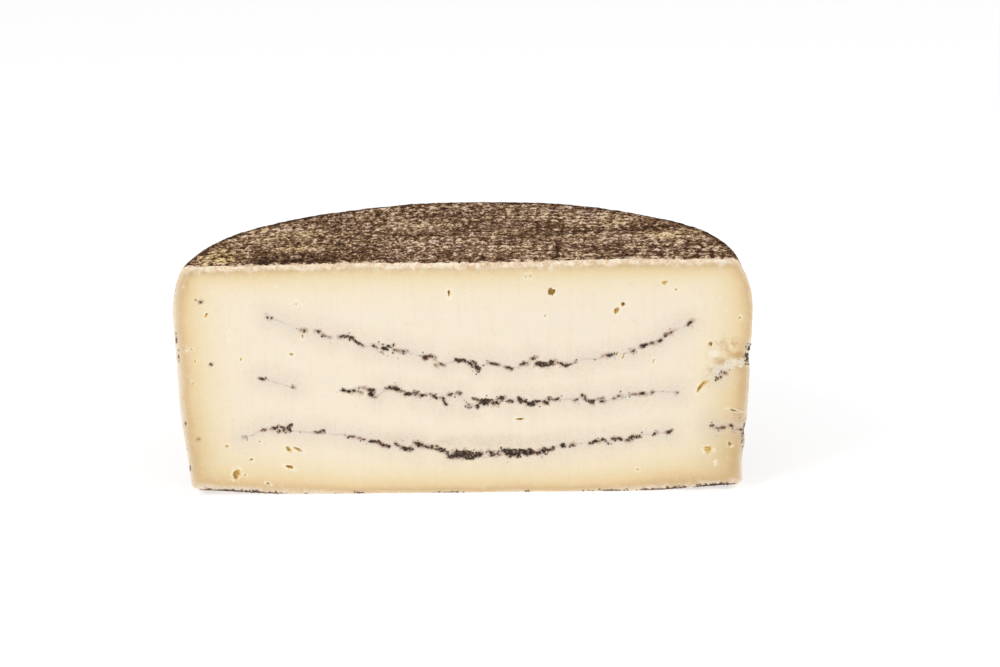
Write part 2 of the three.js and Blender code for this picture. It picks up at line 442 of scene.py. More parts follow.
def side_patch(cell):
    """The side of the wheel as a grid, from its top rim down and from its right end round to its left."""
    plan = rim(half_disc(2 * round(0.6 * RADIUS / cell)))
    radius, height, out = section(cell)
    turned = stack(radius[:, None] * plan[:, 0], radius[:, None] * plan[:, 1], height[:, None])
    points = pressed(turned)
    direction = stack(out[:, 0, None] * plan[:, 0], out[:, 0, None] * plan[:, 1], out[:, 1, None])
    points -= direction * sunk(points, wrapped=True)[..., None]
    return np.concatenate([before_cut(points[:, :1]), points, before_cut(points[:, -1:])], axis=1)


# %% [markdown]
# ## The paste inside the rind
#
# The paste is the wheel without its rind. It is a coarse turned form, as only its cut face shows, and it
# lies deeper under the top, where the crust is thick and crumbly, than under the side and the base.

# %% Turned form of the paste
CRUST = {"top": 3.1, "side": 1.5, "base": 1.6}


def paste_form(cell=2.6):
    """The turned solid that the rind wraps."""
    radius, height, out = section(cell)
    rings = max(3, round(RIM_RADIUS / cell))
    inner = np.linspace(0, 1, rings, endpoint=False)[1:]
    radius = np.concatenate([inner * RIM_RADIUS, radius, inner[::-1] * FOOT_RADIUS])
    height = np.concatenate([np.full(len(inner), HEIGHT), height, np.zeros(len(inner))])
    out = np.concatenate([np.tile([0, 1], (len(inner), 1)), out, np.tile([0, -1], (len(inner), 1))])
    angle = np.linspace(0, 2 * math.pi, round(2 * math.pi * RADIUS / cell), endpoint=False)
    turned = stack(radius[:, None] * np.cos(angle), radius[:, None] * np.sin(angle), height[:, None])
    points = pressed(turned).reshape(-1, 3)
    direction = stack(out[:, :1] * np.cos(angle), out[:, :1] * np.sin(angle), out[:, 1:]).reshape(-1, 3)
    upward = direction[:, 2]
    thickness = CRUST["side"] * (1 - upward**2)
    thickness += np.where(upward > 0, CRUST["top"], CRUST["base"]) * upward**2
    thickness *= 1 + 0.14 * noise(points, 9, 11) + 0.08 * noise(points, 3, 12)
    points -= direction * thickness[:, None]
    middle = [[0, 0, HEIGHT - CRUST["top"]], [0, 0, CRUST["base"]]]
    return solid("paste", np.concatenate([points, middle]), ring_faces(numbered(len(radius), len(angle))))


# %% [markdown]
# ## The knife
#
# A knife leaves a face that is flat but not smooth. It drags a little, it tears the curd round the
# truffle, and the dry crust under the rind crumbles before it. The tool that cuts every piece here is a
# block whose one face has all of that, so paste and rind get one common cut face with no step between
# them. It stays on the paste's side of the true cut plane, so that nothing stands proud of the solid.

# %% Lines of the cut
OUTLINE_STEP = 0.8
AT_ONCE = 4000


def cut_lines():
    """The wheel's outline in the cut plane: its top line, its two side lines and its base line."""
    across = np.linspace(-RIM_RADIUS, RIM_RADIUS, round(2 * RIM_RADIUS / OUTLINE_STEP))
    radius, height, _ = section(OUTLINE_STEP)
    side = [pressed(stack(sign * radius, np.zeros(len(radius)), height)) for sign in (1, -1)]
    foot = np.linspace(-FOOT_RADIUS, FOOT_RADIUS, round(2 * FOOT_RADIUS / OUTLINE_STEP))
    return {
        "top": pressed(stack(across, 0, HEIGHT)),
        "side": np.concatenate(side),
        "base": pressed(stack(foot, 0, 0)),
    }


def distance(points, line):
    """Each point's distance in the cut plane to the nearest point of a line."""
    nearest = []
    for start in range(0, len(points), AT_ONCE):
        part = points[start:start + AT_ONCE, None]
        nearest.append(np.hypot(part[..., 0] - line[:, 0], part[..., 2] - line[:, 2]).min(axis=1))
    return np.concatenate(nearest)


LINES = cut_lines()


# %% [markdown]
# ## Where the truffle shows
#
# Each layer of truffle reaches the cut in clumps, with only a thread or nothing between them. A clump is
# given by its two ends in the cut face and by its thickness.

# %% Clumps of truffle: x and z of the left end, x and z of the right end, thickness
CLUMPS = {
    "upper": [
        (-95.7, 73.0, -95.0, 72.9, 1.2), (-71.7, 66.8, -70.7, 66.8, 2.0), (-58.8, 62.0, -57.4, 61.8, 0.5),
        (-53.8, 61.2, -52.6, 61.0, 0.6), (-50.9, 59.8, -49.8, 59.4, 0.8), (-49.8, 59.4, -48.4, 59.0, 0.4),
        (-45.4, 59.0, -44.0, 59.2, 0.6), (-42.6, 59.0, -40.4, 58.6, 1.0), (-40.2, 58.2, -36.4, 55.4, 0.7),
        (-32.6, 55.6, -31.4, 54.9, 0.9), (-30.2, 54.7, -28.4, 54.5, 2.5), (-27.4, 55.2, -26.0, 54.9, 2.1),
        (-25.4, 53.9, -20.4, 53.2, 0.6), (-22.8, 53.4, -21.8, 53.2, 1.3), (-14.6, 51.1, -13.6, 51.0, 1.8),
        (-13.2, 51.5, -10.4, 50.9, 0.7), (-10.2, 50.4, -9.2, 48.6, 1.4), (-10.6, 48.2, -10.0, 47.6, 0.9),
        (-9.0, 48.6, -7.2, 47.9, 0.6), (-3.0, 49.7, 1.6, 49.3, 1.3), (2.2, 48.6, 5.2, 46.6, 1.7),
        (8.8, 48.8, 12.6, 47.8, 0.9), (14.6, 47.2, 17.2, 46.4, 0.7), (20.6, 47.8, 23.0, 48.1, 1.0),
        (24.2, 49.7, 26.6, 50.5, 0.9), (26.0, 47.9, 30.4, 48.1, 2.3), (30.9, 48.6, 37.2, 47.4, 1.6),
        (37.9, 47.6, 40.4, 48.7, 0.8), (50.0, 50.4, 53.6, 51.0, 1.0),
        (60.4, 51.7, 61.0, 51.9, 0.7), (63.9, 53.6, 65.4, 54.3, 1.1), (67.2, 54.8, 67.8, 55.0, 0.7),
        (69.4, 55.5, 71.0, 56.3, 1.1), (72.4, 57.8, 74.3, 58.9, 1.0), (80.9, 62.2, 81.8, 62.8, 1.0),
    ],
    "middle": [
        (-91.7, 49.5, -91.4, 49.5, 0.35), (-74.4, 44.0, -72.2, 43.6, 0.9), (-62.0, 40.8, -61.4, 40.7, 0.6),
        (-43.6, 39.2, -37.4, 38.2, 1.4),
        (-37.6, 39.8, -32.4, 38.9, 0.7), (-33.8, 37.6, -31.7, 36.6, 1.0), (-28.6, 39.4, -24.6, 39.6, 1.1),
        (-24.2, 38.8, -20.4, 37.8, 1.4), (-20.6, 37.7, -17.4, 37.0, 2.6), (-16.9, 36.5, -13.6, 36.9, 0.8),
        (-12.4, 37.2, -9.7, 35.9, 1.0), (-8.0, 36.2, -6.3, 33.3, 0.6), (-5.4, 37.1, -1.5, 37.0, 1.1),
        (1.5, 33.0, 5.0, 32.4, 1.8), (3.4, 35.2, 7.0, 34.2, 1.3), (6.0, 33.7, 11.6, 33.6, 2.6),
        (11.4, 34.9, 14.5, 35.4, 1.1), (15.9, 34.4, 17.5, 34.2, 0.7), (20.2, 34.7, 24.3, 33.1, 1.9),
        (24.9, 34.2, 30.0, 33.6, 1.6), (30.2, 34.6, 34.0, 34.8, 0.8), (39.8, 34.3, 40.6, 34.4, 0.8),
        (42.6, 36.0, 43.6, 35.4, 0.7), (43.4, 34.6, 44.2, 34.2, 0.7), (45.2, 33.4, 46.2, 33.2, 1.4),
        (48.4, 34.6, 50.2, 34.6, 0.6), (49.4, 33.6, 50.6, 33.4, 1.2), (54.0, 34.8, 54.8, 34.9, 0.8),
        (55.8, 35.6, 56.8, 35.7, 1.3), (59.6, 36.2, 62.0, 36.2, 0.9), (63.4, 36.4, 65.6, 36.2, 1.2),
        (67.6, 37.0, 68.0, 37.1, 0.6), (76.3, 36.6, 76.7, 36.6, 0.5),
        (90.6, 41.2, 92.2, 42.4, 1.0), (93.3, 43.9, 94.1, 43.6, 0.8),
    ],
    "lower": [
        (-96.4, 21.4, -96.0, 21.4, 0.6), (-79.9, 22.1, -79.5, 22.1, 0.8), (-72.9, 24.3, -71.9, 24.4, 0.5),
        (-69.6, 24.8, -68.4, 25.3, 0.6), (-66.8, 24.5, -63.0, 24.5, 2.3), (-66.9, 25.4, -62.9, 25.3, 2.1),
        (-54.0, 23.5, -53.3, 23.5, 0.8), (-51.9, 23.8, -50.6, 23.7, 0.9), (-41.9, 21.8, -39.6, 21.6, 0.6),
        (-38.3, 21.2, -36.0, 20.8, 0.6), (-33.9, 20.3, -27.1, 18.0, 1.0), (-24.6, 18.9, -22.0, 17.6, 1.0),
        (-22.6, 17.0, -18.8, 16.9, 1.9), (-18.2, 19.4, -14.8, 17.9, 1.0), (-14.6, 17.6, -9.0, 16.6, 1.1),
        (-10.4, 17.2, -7.4, 15.9, 1.7), (-7.2, 15.6, -5.4, 15.3, 0.6), (-3.9, 14.7, 6.0, 14.5, 4.0),
        (9.3, 14.9, 12.0, 14.2, 2.3), (13.9, 15.9, 15.4, 15.6, 1.2), (16.2, 15.0, 20.0, 15.2, 3.4),
        (20.2, 15.6, 24.4, 15.3, 2.0), (21.8, 14.9, 22.8, 14.4, 1.6), (24.6, 15.2, 28.8, 15.1, 2.5),
        (26.6, 14.6, 27.8, 14.2, 1.8), (28.6, 15.9, 32.8, 16.4, 1.4),
        (35.3, 17.5, 36.4, 17.6, 0.8), (38.4, 17.6, 39.4, 17.7, 0.7),
        (45.4, 18.1, 50.0, 18.9, 1.0), (50.0, 19.4, 51.8, 18.1, 0.6), (53.0, 19.4, 56.4, 19.7, 1.2),
        (58.4, 18.9, 59.6, 19.1, 0.7), (59.9, 19.6, 63.2, 20.8, 1.1), (68.5, 21.3, 69.4, 21.6, 0.6),
        (73.2, 21.9, 74.8, 22.6, 0.9), (88.9, 24.4, 89.4, 24.2, 0.6), (90.2, 23.4, 91.8, 23.0, 0.45),
        (92.9, 23.7, 93.3, 23.6, 0.7), (95.9, 24.3, 96.2, 24.2, 0.7), (99.3, 22.6, 100.7, 22.2, 0.6),
    ],
}


def on_face(x, z):
    """The place on the cut face of a mark that was read off a picture taken a little from above."""
    return (
        1.0234 * x + 0.0278 * z - 0.000325 * x * z - 0.85,
        1.0469 * z + 0.0017 * x - 0.000327 * z * z - 0.29,
    )


for clumps in CLUMPS.values():
    clumps[:] = [(*on_face(x0, z0), *on_face(x1, z1), thickness) for x0, z0, x1, z1, thickness in clumps]


def line_distance(points, x0, z0, x1, z1):
    """Each point's distance in the cut face to a straight line between two places."""
    run, rise = x1 - x0, z1 - z0
    right, up = points[:, 0] - x0, points[:, 2] - z0
    share = np.clip((right * run + up * rise) / (run * run + rise * rise), 0, 1)
    return np.hypot(right - share * run, up - share * rise)


def clump_distance(points, clumps):
    """Each point's distance in the cut face to the nearest clump's ragged surface, and 0 inside one."""
    tear = 0.36 * noise(points, 1.7, 32) + 0.34 * noise(points, 0.8, 33)
    moved = points + stack(0, 0, 0.4 * noise(points, 2.2, 34))
    nearest = np.full(len(points), FAR)
    for *ends, thickness in clumps:
        half = 0.22 * thickness + 0.18 * max(thickness - 1.5, 0) + min(thickness, 2.2) * tear
        gap = line_distance(moved, *ends) - half
        nearest = np.minimum(nearest, np.maximum(gap, 0))
    return nearest


def thread_distance(points, clumps):
    """Each point's distance to the thin threads that join neighbouring clumps."""
    moved = points + stack(0, 0, 0.5 * noise(points, 3, 38))
    nearest = np.full(len(points), FAR)
    ordered = sorted(clumps)
    for (_, _, x0, z0, _), (x1, z1, *_) in zip(ordered, ordered[1:]):
        if 0.3 < x1 - x0 < 14:
            nearest = np.minimum(nearest, line_distance(moved, x0, z0, x1, z1))
    return nearest


ALL_CLUMPS = [clump for clumps in CLUMPS.values() for clump in clumps]
print("clumps:", {name: len(clumps) for name, clumps in CLUMPS.items()})


# %% [markdown]
# The knife's face is a height map over the cut plane. Each kind of roughness is switched on where it
# belongs: long faint drag marks on the paste, crumbling in the crust, and tears where truffle sits. Its
# rows lie closer where the truffle layers run, so that the tears are sharp and the rest stays light.

# %% Knife
KNIFE_REACH, KNIFE_DEPTH = 110, 3000
TEAR_DEPTH = 0.35
FINE_BANDS = [(12.6, 27), (31.6, 43), (45.5, 69.5)]
CRACK = [on_face(x, z) for x, z in ((103.0, 48.6), (99.5, 47.6), (96.0, 47.2), (92.8, 45.6), (90.6, 43.8))]


def crack_distance(points):
    """Each point's distance to the crumbly crack that runs in from the fold in the rind."""
    return np.min([line_distance(points, *start, *end) for start, end in zip(CRACK, CRACK[1:])], axis=0)


def knife_depth(points):
    """How far behind the true cut plane the cut face lies, for points given by x and z."""
    flat = points.reshape(-1, 3) * [1, 0, 1]
    under_top = distance(flat, LINES["top"])
    edge = np.minimum(distance(flat, LINES["side"]), distance(flat, LINES["base"]))
    to_clump = clump_distance(flat, ALL_CLUMPS)
    near_truffle = 1 - smooth(0.2, 1.6, to_clump)
    torn = 1 - smooth(0, 0.4, to_clump)
    cracked = 1 - smooth(0.6, 2.6, crack_distance(flat) + 0.6 * noise(flat, 1.3, 35))
    crumbly = 1 - smooth(2.4, 3.8, under_top + 0.7 * noise(flat, 3, 21))
    crusty = 1 - smooth(1.2, 2.8, edge + 0.6 * noise(flat, 2, 22))
    depth = 0.10 + 0.05 * noise(flat, 16, 23) + 0.03 * noise(flat, 3.5, 24)
    depth += 0.015 * noise(flat * [1, 1, 0.06], 1.1, 25)
    depth += crumbly * (0.26 + 0.22 * noise(flat, 1.3, 26) + 0.16 * noise(flat, 0.7, 27))
    depth += crusty * (0.14 + 0.18 * noise(flat, 1.4, 28) + 0.10 * noise(flat, 0.8, 39))
    depth += near_truffle * (0.08 + 0.12 * noise(flat, 1.2, 29) + 0.07 * noise(flat, 0.7, 30))
    depth += cracked * (0.18 + 0.18 * noise(flat, 1.2, 36) + 0.06 * noise(flat, 0.7, 37))
    depth += torn * TEAR_DEPTH
    return np.maximum(depth, 0.02).reshape(points.shape[:-1])


def knife_rows(low_z, high_z, fine, coarse):
    """Heights of the rows of the knife's grid, closer together in the bands where truffle runs."""
    heights = [low_z]
    while heights[-1] < high_z:
        banded = any(start < heights[-1] < end for start, end in FINE_BANDS)
        heights.append(heights[-1] + (fine if banded else coarse))
    return np.array(heights)


def knife(cell, fine, low_z=-4, high_z=90):
    """The block that cuts a piece to the cut face."""
    across = np.linspace(-KNIFE_REACH, KNIFE_REACH, round(2 * KNIFE_REACH / cell) + 1)
    heights = knife_rows(low_z, high_z, fine, cell)
    grid = stack(across[None, :], 0, heights[:, None])
    grid[..., 1] = knife_depth(grid)
    return patch_solid("knife", grid, (0, -KNIFE_DEPTH, (low_z + high_z) / 2), FLESH)


# %% [markdown]
# ## Eyes
#
# Small gas holes, the eyes, open in the cut. Each is a lump that is taken out of the paste: a ball,
# made uneven, stretched to the eye's width and height, and turned by its lean. A Boolean leaves a crisp
# lip round each, which is what catches the light on the real ones.

# %% Eyes: x, z, width, height, depth, lean in degrees
EYES = [
    (31.4, 74.8, 2.4, 2.8, 1.6, 0), (-5.4, 74.6, 1.9, 3.8, 1.3, 6), (54.9, 67.6, 2.0, 3.0, 1.4, 30),
    (57.0, 69.6, 1.7, 1.8, 1.1, 0), (72.1, 77.6, 2.2, 1.7, 0.9, 0), (76.2, 74.9, 0.9, 0.7, 0.7, 0),
    (29.2, 65.9, 0.8, 0.8, 0.6, 0), (-93.5, 67.8, 1.4, 1.9, 1.0, 20), (-85.2, 60.6, 0.6, 1.8, 0.4, 0),
    (-60.3, 71.8, 2.6, 2.4, 0.4, 0), (-58.4, 59.6, 0.9, 1.9, 0.7, 10), (-80.8, 51.2, 0.9, 1.2, 0.5, 0),
    (-62.4, 52.8, 1.4, 0.9, 0.9, 20), (99.0, 64.0, 0.9, 1.4, 0.8, 25),
    (88.6, 54.6, 1.9, 2.1, 1.0, 0), (68.2, 48.4, 0.8, 1.7, 0.6, 25), (55.2, 51.8, 0.9, 0.7, 0.6, 0),
    (20.6, 27.6, 3.6, 1.1, 1.0, 0), (85.5, 38.9, 1.7, 5.4, 1.4, 40), (87.7, 15.2, 3.9, 2.7, 1.1, 15),
    (95.6, 17.3, 1.9, 1.2, 0.9, 30), (-82.5, 8.4, 2.9, 4.8, 1.3, 22), (-79.4, 7.9, 1.0, 0.6, 0.6, 0),
    (-63.4, 17.3, 2.7, 1.5, 1.1, 35), (-60.1, 17.3, 3.2, 1.1, 1.0, 28), (-63.1, 10.6, 3.5, 1.3, 1.1, 20),
    (-85.9, 18.8, 1.5, 1.1, 0.6, 0), (-76.9, 13.6, 1.3, 0.9, 0.8, 0), (-70.9, 4.6, 1.6, 1.0, 0.8, 30),
    (-74.0, 20.4, 0.9, 0.7, 0.6, 0), (96.9, 29.7, 2.6, 0.6, 1.4, 15), (62.5, 8.2, 1.2, 0.8, 0.6, 0),
    (2.2, 75.4, 0.6, 0.8, 0.5, 0), (57.2, 50.2, 0.8, 2.0, 0.6, 20), (-62.0, 41.2, 1.0, 0.9, 0.7, 0),
    (-98.1, 42.6, 0.8, 0.7, 0.5, 0), (-71.0, 26.0, 0.8, 0.5, 0.5, 0), (-98.7, 55.2, 0.7, 0.6, 0.5, 0),
    (-97.4, 50.8, 0.7, 0.9, 0.5, 0), (22.3, 80.5, 0.7, 1.5, 0.5, 0), (24.0, 80.7, 0.6, 1.2, 0.5, 0),
]
EYES = [(*on_face(x, z), *rest) for x, z, *rest in EYES]


def ball(rings=14, around=22):
    """Points and faces of a ball of radius 1."""
    rise = np.linspace(0, math.pi, rings + 1)[1:-1]
    turn = np.linspace(0, 2 * math.pi, around, endpoint=False)
    rise = rise[:, None]
    body = stack(np.sin(rise) * np.cos(turn), np.sin(rise) * np.sin(turn), np.cos(rise))
    points = np.concatenate([body.reshape(-1, 3), [[0, 0, 1], [0, 0, -1]]])
    return points, ring_faces(numbered(len(rise), around))


def leaned(right, up, lean):
    """Distances to the right and upwards, turned by that many degrees."""
    turn = math.radians(lean)
    return right * math.cos(turn) - up * math.sin(turn), right * math.sin(turn) + up * math.cos(turn)


def eye_lumps():
    """One mesh with a lump for every eye."""
    form, form_faces = ball()
    points, faces = [], []
    for x, z, width, tall, depth, lean in EYES:
        here = form + [x, 0, z]
        uneven = 1.02 + 0.46 * noise(here, 0.9, 41) + 0.30 * noise(here, 0.45, 47)
        uneven += 0.50 * smooth(2, 4, tall) * noise(here, 1.9, 57)
        lump = form * uneven[:, None] * [width / 2, depth, tall / 2]
        right, up = leaned(lump[:, 0], lump[:, 2], -lean)
        start = len(points) * len(form)
        points.append(stack(x + right, lump[:, 1], z + up))
        faces += [[start + corner for corner in face] for face in form_faces]
    return solid("eyes", np.concatenate(points), faces)


# %% [markdown]
# ## Truffle
#
# The truffle went into the mould in three thin sprinklings, so each layer is a shallow dish that runs
# through the whole cheese. Behind the cut a layer is one uneven sheet, and the paste has a slot for it.
# In the cut itself the layer shows as clumps of crumbs, which are scattered further on.

# %% Layers: lowest point, reach and rise to left, right and back
LAYERS = {
    "upper": {"lowest": 48.5, "lowest_x": 5, "left": (74, 18.7, 1.55), "right": (84, 16.1, 2.6), "back": 78},
    "middle": {"lowest": 35.1, "lowest_x": 12, "left": (77, 9.8, 1.2), "right": (71, 3.3, 2.2), "back": 75},
    "lower": {"lowest": 14.7, "lowest_x": 2.4, "left": (71, 10.6, 1.3), "right": (79, 7.7, 1.5), "back": 76},
}
SHEET_THICKNESS = 1.5
SHEET_CELL = 1.6
SHEET_ROWS = 24
SHEET_START = 1.6
SHEET_GAP = 0.15


def dish_height(layer, x, y):
    """Height of the middle of a truffle layer."""
    run = x - layer["lowest_x"]
    away = np.maximum(np.hypot(run, y), 1e-6)
    rightward = 0.5 + 0.5 * run / away
    rise = mix(layer["left"][1], layer["right"][1], rightward)
    power = mix(layer["left"][2], layer["right"][2], rightward)
    wave = np.sin(x / 7 + layer["lowest"]) * np.cos(y / 9 + layer["lowest_x"])
    return layer["lowest"] + rise * (away / layer["back"]) ** power + 0.25 * wave


def sheet(layer, grow=0.0):
    """Points and faces of a layer's sheet behind the cut, grown on every side."""
    left, right = layer["left"][0], layer["right"][0]
    middle, half_width = (right - left) / 2, (left + right) / 2
    columns, rows = round((left + right) / SHEET_CELL), SHEET_ROWS
    x = np.linspace(-left, right, columns + 1)
    across = np.clip((x - middle) / half_width, -1, 1)
    ragged = 2.2 * np.sin(0.55 * x + layer["lowest"]) + 1.4 * np.sin(1.3 * x)
    back = np.maximum(layer["back"] * np.sqrt(1 - across**2) + ragged, SHEET_START + 3)
    y = mix(SHEET_START, back, (np.arange(rows + 1)[:, None] / rows) ** 1.3)
    x = np.broadcast_to(x, y.shape)
    height = dish_height(layer, x, y)
    half = 0.5 * (SHEET_THICKNESS + 0.8 * np.sin(x / 4.3 + layer["lowest"]) * np.cos(y / 5.1)) - 0.1 + grow
    x, y = x.copy(), y.copy()
    x[:, 0] -= grow
    x[:, -1] += grow
    y[0] -= grow
    y[-1] += grow
    points = np.concatenate([stack(x, y, height + side * half).reshape(-1, 3) for side in (1, -1)])
    at = numbered(rows + 1, columns + 1)
    over = grid_faces(at)[:, [0, 3, 2, 1]]
    below = grid_faces(at + at.size)
    edge = grid_edge(at)
    walls = np.stack([edge, edge + at.size, np.roll(edge, -1) + at.size, np.roll(edge, -1)], axis=-1)
    return points, np.concatenate([over, below, walls]).tolist()


# %% [markdown]
# The rind's parts now lose what the paste takes up and what the knife takes off. Then the knife cuts the
# paste, and the eyes and the slots for the truffle are taken out of it.

# %% Cut rind and paste
def report(thing):
    print(f"{thing.name}: {len(thing.data.vertices)} points, {len(thing.data.polygons)} faces")
    return thing


def rind_piece(name, patch, blade):
    """One part of the rind: a patch made solid, without the paste and cut by a knife."""
    piece = carve(patch_solid(name, patch, HEART, SKIN), paste_form())
    return report(carve(piece, blade))


rind_top = rind_piece("rind_top", lid_patch(cell=0.5, top=True), knife(cell=0.35, fine=0.35, low_z=78))
rind_side = rind_piece("rind_side", side_patch(cell=0.58), knife(cell=0.5, fine=0.5))
rind_base = rind_piece("rind_base", lid_patch(cell=0.8, top=False), knife(cell=0.4, fine=0.4, high_z=8))
RIND = (rind_top, rind_side, rind_base)

paste = carve(paste_form(), knife(cell=0.59, fine=0.42))
carve(paste, eye_lumps())
for layer in LAYERS.values():
    carve(paste, solid("slot", *sheet(layer, SHEET_GAP)))
report(paste)


# %% [markdown]
# ## Painting by form
#
# A finish has to know where it is: how deep under the rind, how near to truffle, how worn. Such things
# are worked out here once for every point of a mesh and kept in attributes, which a material can read.
# That is exact, it costs nothing while rendering, and it stays with the mesh when it is exported.

# %% Attributes
def keep(thing, **values):
    """Store values per point of a mesh under their names."""
    for name, value in values.items():
        thing.data.attributes.new(name, "FLOAT", "POINT").data.foreach_set("value", value.astype(np.float32))


def eye_distance(points):
    """Distance in the cut face to the lip of the nearest eye, below 0 inside one."""
    nearest = np.full(len(points), FAR)
    for x, z, width, tall, _, lean in EYES:
        across, up = leaned(points[:, 0] - x, points[:, 2] - z, lean)
        scale = np.hypot(across / (width / 2), up / (tall / 2))
        nearest = np.minimum(nearest, (scale - 1) * min(width, tall) / 2)
    return nearest


BRUISES = [
    (97.5, 50.3, 3.6, 2.2, 1.0), (92.0, 47.8, 3.0, 2.2, 0.9), (89.0, 45.0, 2.4, 2.8, 0.75),
    (95.0, 54.0, 7.0, 4.2, 0.55), (99.0, 44.5, 6.0, 3.0, 0.45), (100.0, 22.0, 4.5, 3.6, 0.8),
    (94.0, 23.5, 4.0, 2.4, 0.5), (98.2, 25.5, 2.6, 5.5, 0.8), (87.6, 42.0, 2.6, 4.0, 0.55),
    (-58.1, 61.9, 1.9, 1.0, 1.4), (60.7, 52.8, 1.4, 1.1, 1.2), (82.0, 63.1, 1.5, 1.6, 1.0),
    (74.6, 59.4, 2.0, 1.4, 0.9), (97.2, 29.9, 2.4, 0.45, 1.6),
]
DRIED = [
    (101, 12, 14, 20, 0.44), (82, 3, 15, 4.5, 0.30), (103.5, 38, 4, 10, 0.42), (-101, 13, 13, 17, 0.20),
    (-104, 79, 4, 5, 0.18), (-99.4, 83.5, 1.0, 2.2, 0.30), (-100.6, 79, 1.1, 3.2, 0.32),
]
PALE_SPOTS = [
    (89.8, 50.9, 2.2, 1.5, 1.0), (90.4, 10.3, 1.2, 2.0, 0.7), (96.0, 53.5, 1.2, 1.0, 0.6),
    (92.0, 71.6, 0.9, 0.9, 0.6), (94.0, 66.9, 0.8, 0.8, 0.6), (98.6, 76.0, 0.9, 0.8, 0.5),
    (-100.9, 54.8, 1.8, 3.0, 0.45), (-101.8, 79.2, 1.6, 2.6, 0.35), (-96.4, 83.6, 3.2, 1.6, 0.45),
    (-68.3, 78.3, 1.4, 0.9, 0.6), (97.0, 30.4, 2.0, 1.2, 0.3), (95.6, 17.3, 2.6, 1.9, 0.45),
]
MOULD_SPOTS = [
    (103.2, 53.0, 0.7, 2.2, 0.5), (102.4, 50.3, 1.3, 1.7, 0.6), (100.8, 49.8, 2.2, 2.2, 0.30),
    (103.4, 48.2, 0.7, 1.4, 0.7), (100.6, 22.4, 2.4, 1.3, 0.42), (102.6, 21.4, 1.2, 1.0, 0.7),
    (101.0, 21.0, 2.2, 8.5, 0.48), (102.6, 31.0, 0.8, 4.0, 0.30), (97.2, 22.8, 3.6, 2.4, 0.36),
    (99.6, 26.5, 2.0, 4.5, 0.30), (101.5, 50.4, 0.5, 0.6, 0.9), (101.1, 48.0, 0.5, 0.5, 0.8),
    (-104.3, 58.7, 0.40, 1.5, 1.0), (-103.6, 52.3, 0.40, 1.9, 0.9), (-104.4, 61.2, 0.35, 0.5, 0.8),
    (-103.6, 55.0, 0.30, 0.5, 0.8), (-103.3, 45.0, 0.30, 0.5, 0.8), (-101.0, 27.4, 0.40, 0.9, 0.9),
    (-99.4, 10.7, 0.55, 1.1, 1.1), (-98.9, 52.6, 2.6, 3.0, 0.12), (-104.7, 77.4, 0.35, 0.5, 0.8),
    (-100.4, 18.0, 0.30, 0.5, 0.6),
]
SMEARS = [(6, 19.4, 30, 2.6, 0.8), (9, 18.4, 3.5, 1.6, 1.0), (-24, 20.6, 12, 2.4, 0.8)]
FUZZY_EDGE = [(101.8, 21.5, 4.0, 10.0, 1.0)]


def edge_at(z, right):
    """How far from the wheel's axis the outline of the cut is at a height."""
    side = LINES["side"][(LINES["side"][:, 0] > 0) == right][::-1]
    return np.interp(z, side[:, 2], np.abs(side[:, 0]))


def spread(points, spots):
    """How strongly soft spots, given by place, half sizes and strength, cover each point."""
    total = np.zeros(len(points))
    for x, z, half_x, half_z, strength in spots:
        x, z = on_face(x, z)
        x = math.copysign(min(abs(x), edge_at(z, right=x > 0) - 0.1), x)
        total = np.maximum(total, strength * bell((points[:, 0] - x) / half_x, (points[:, 2] - z) / half_z))
    return total


def mouldy(points):
    """How thickly dark mould grows at each point, beside the cut only."""
    return spread(points, MOULD_SPOTS) * bell(points[:, 1] / 2.5)


def skin_share(points):
    """How much of the base's dark skin shows along the foot of the cut, from 0 to 1."""
    along = points * [1, 0, 0]
    share = 0.24 + 1.35 * (1 - smooth(-76, -60, points[:, 0])) + 1.1 * smooth(60, 66, points[:, 0])
    share -= 1.4 * bell((points[:, 0] - 82.4) / 2.2)
    share += 0.6 * noise(along, 8, 66) + 0.4 * noise(along, 2.5, 67)
    return np.clip(share, 0, 1) * bell(points[:, 1] / 2.5)


def crusted(flat, under_top):
    """How much of the dry crumbly crust under the top shows at each point of the cut."""
    ragged = under_top + 0.9 * noise(flat, 3, 21) + 0.5 * noise(flat, 1.3, 40)
    wide = 0.28 - 0.20 * smooth(28, 56, np.abs(flat[:, 0]))
    return 0.72 * (1 - smooth(1.9, 3.3, ragged)) + wide * (1 - smooth(2.6, 6.5, ragged))


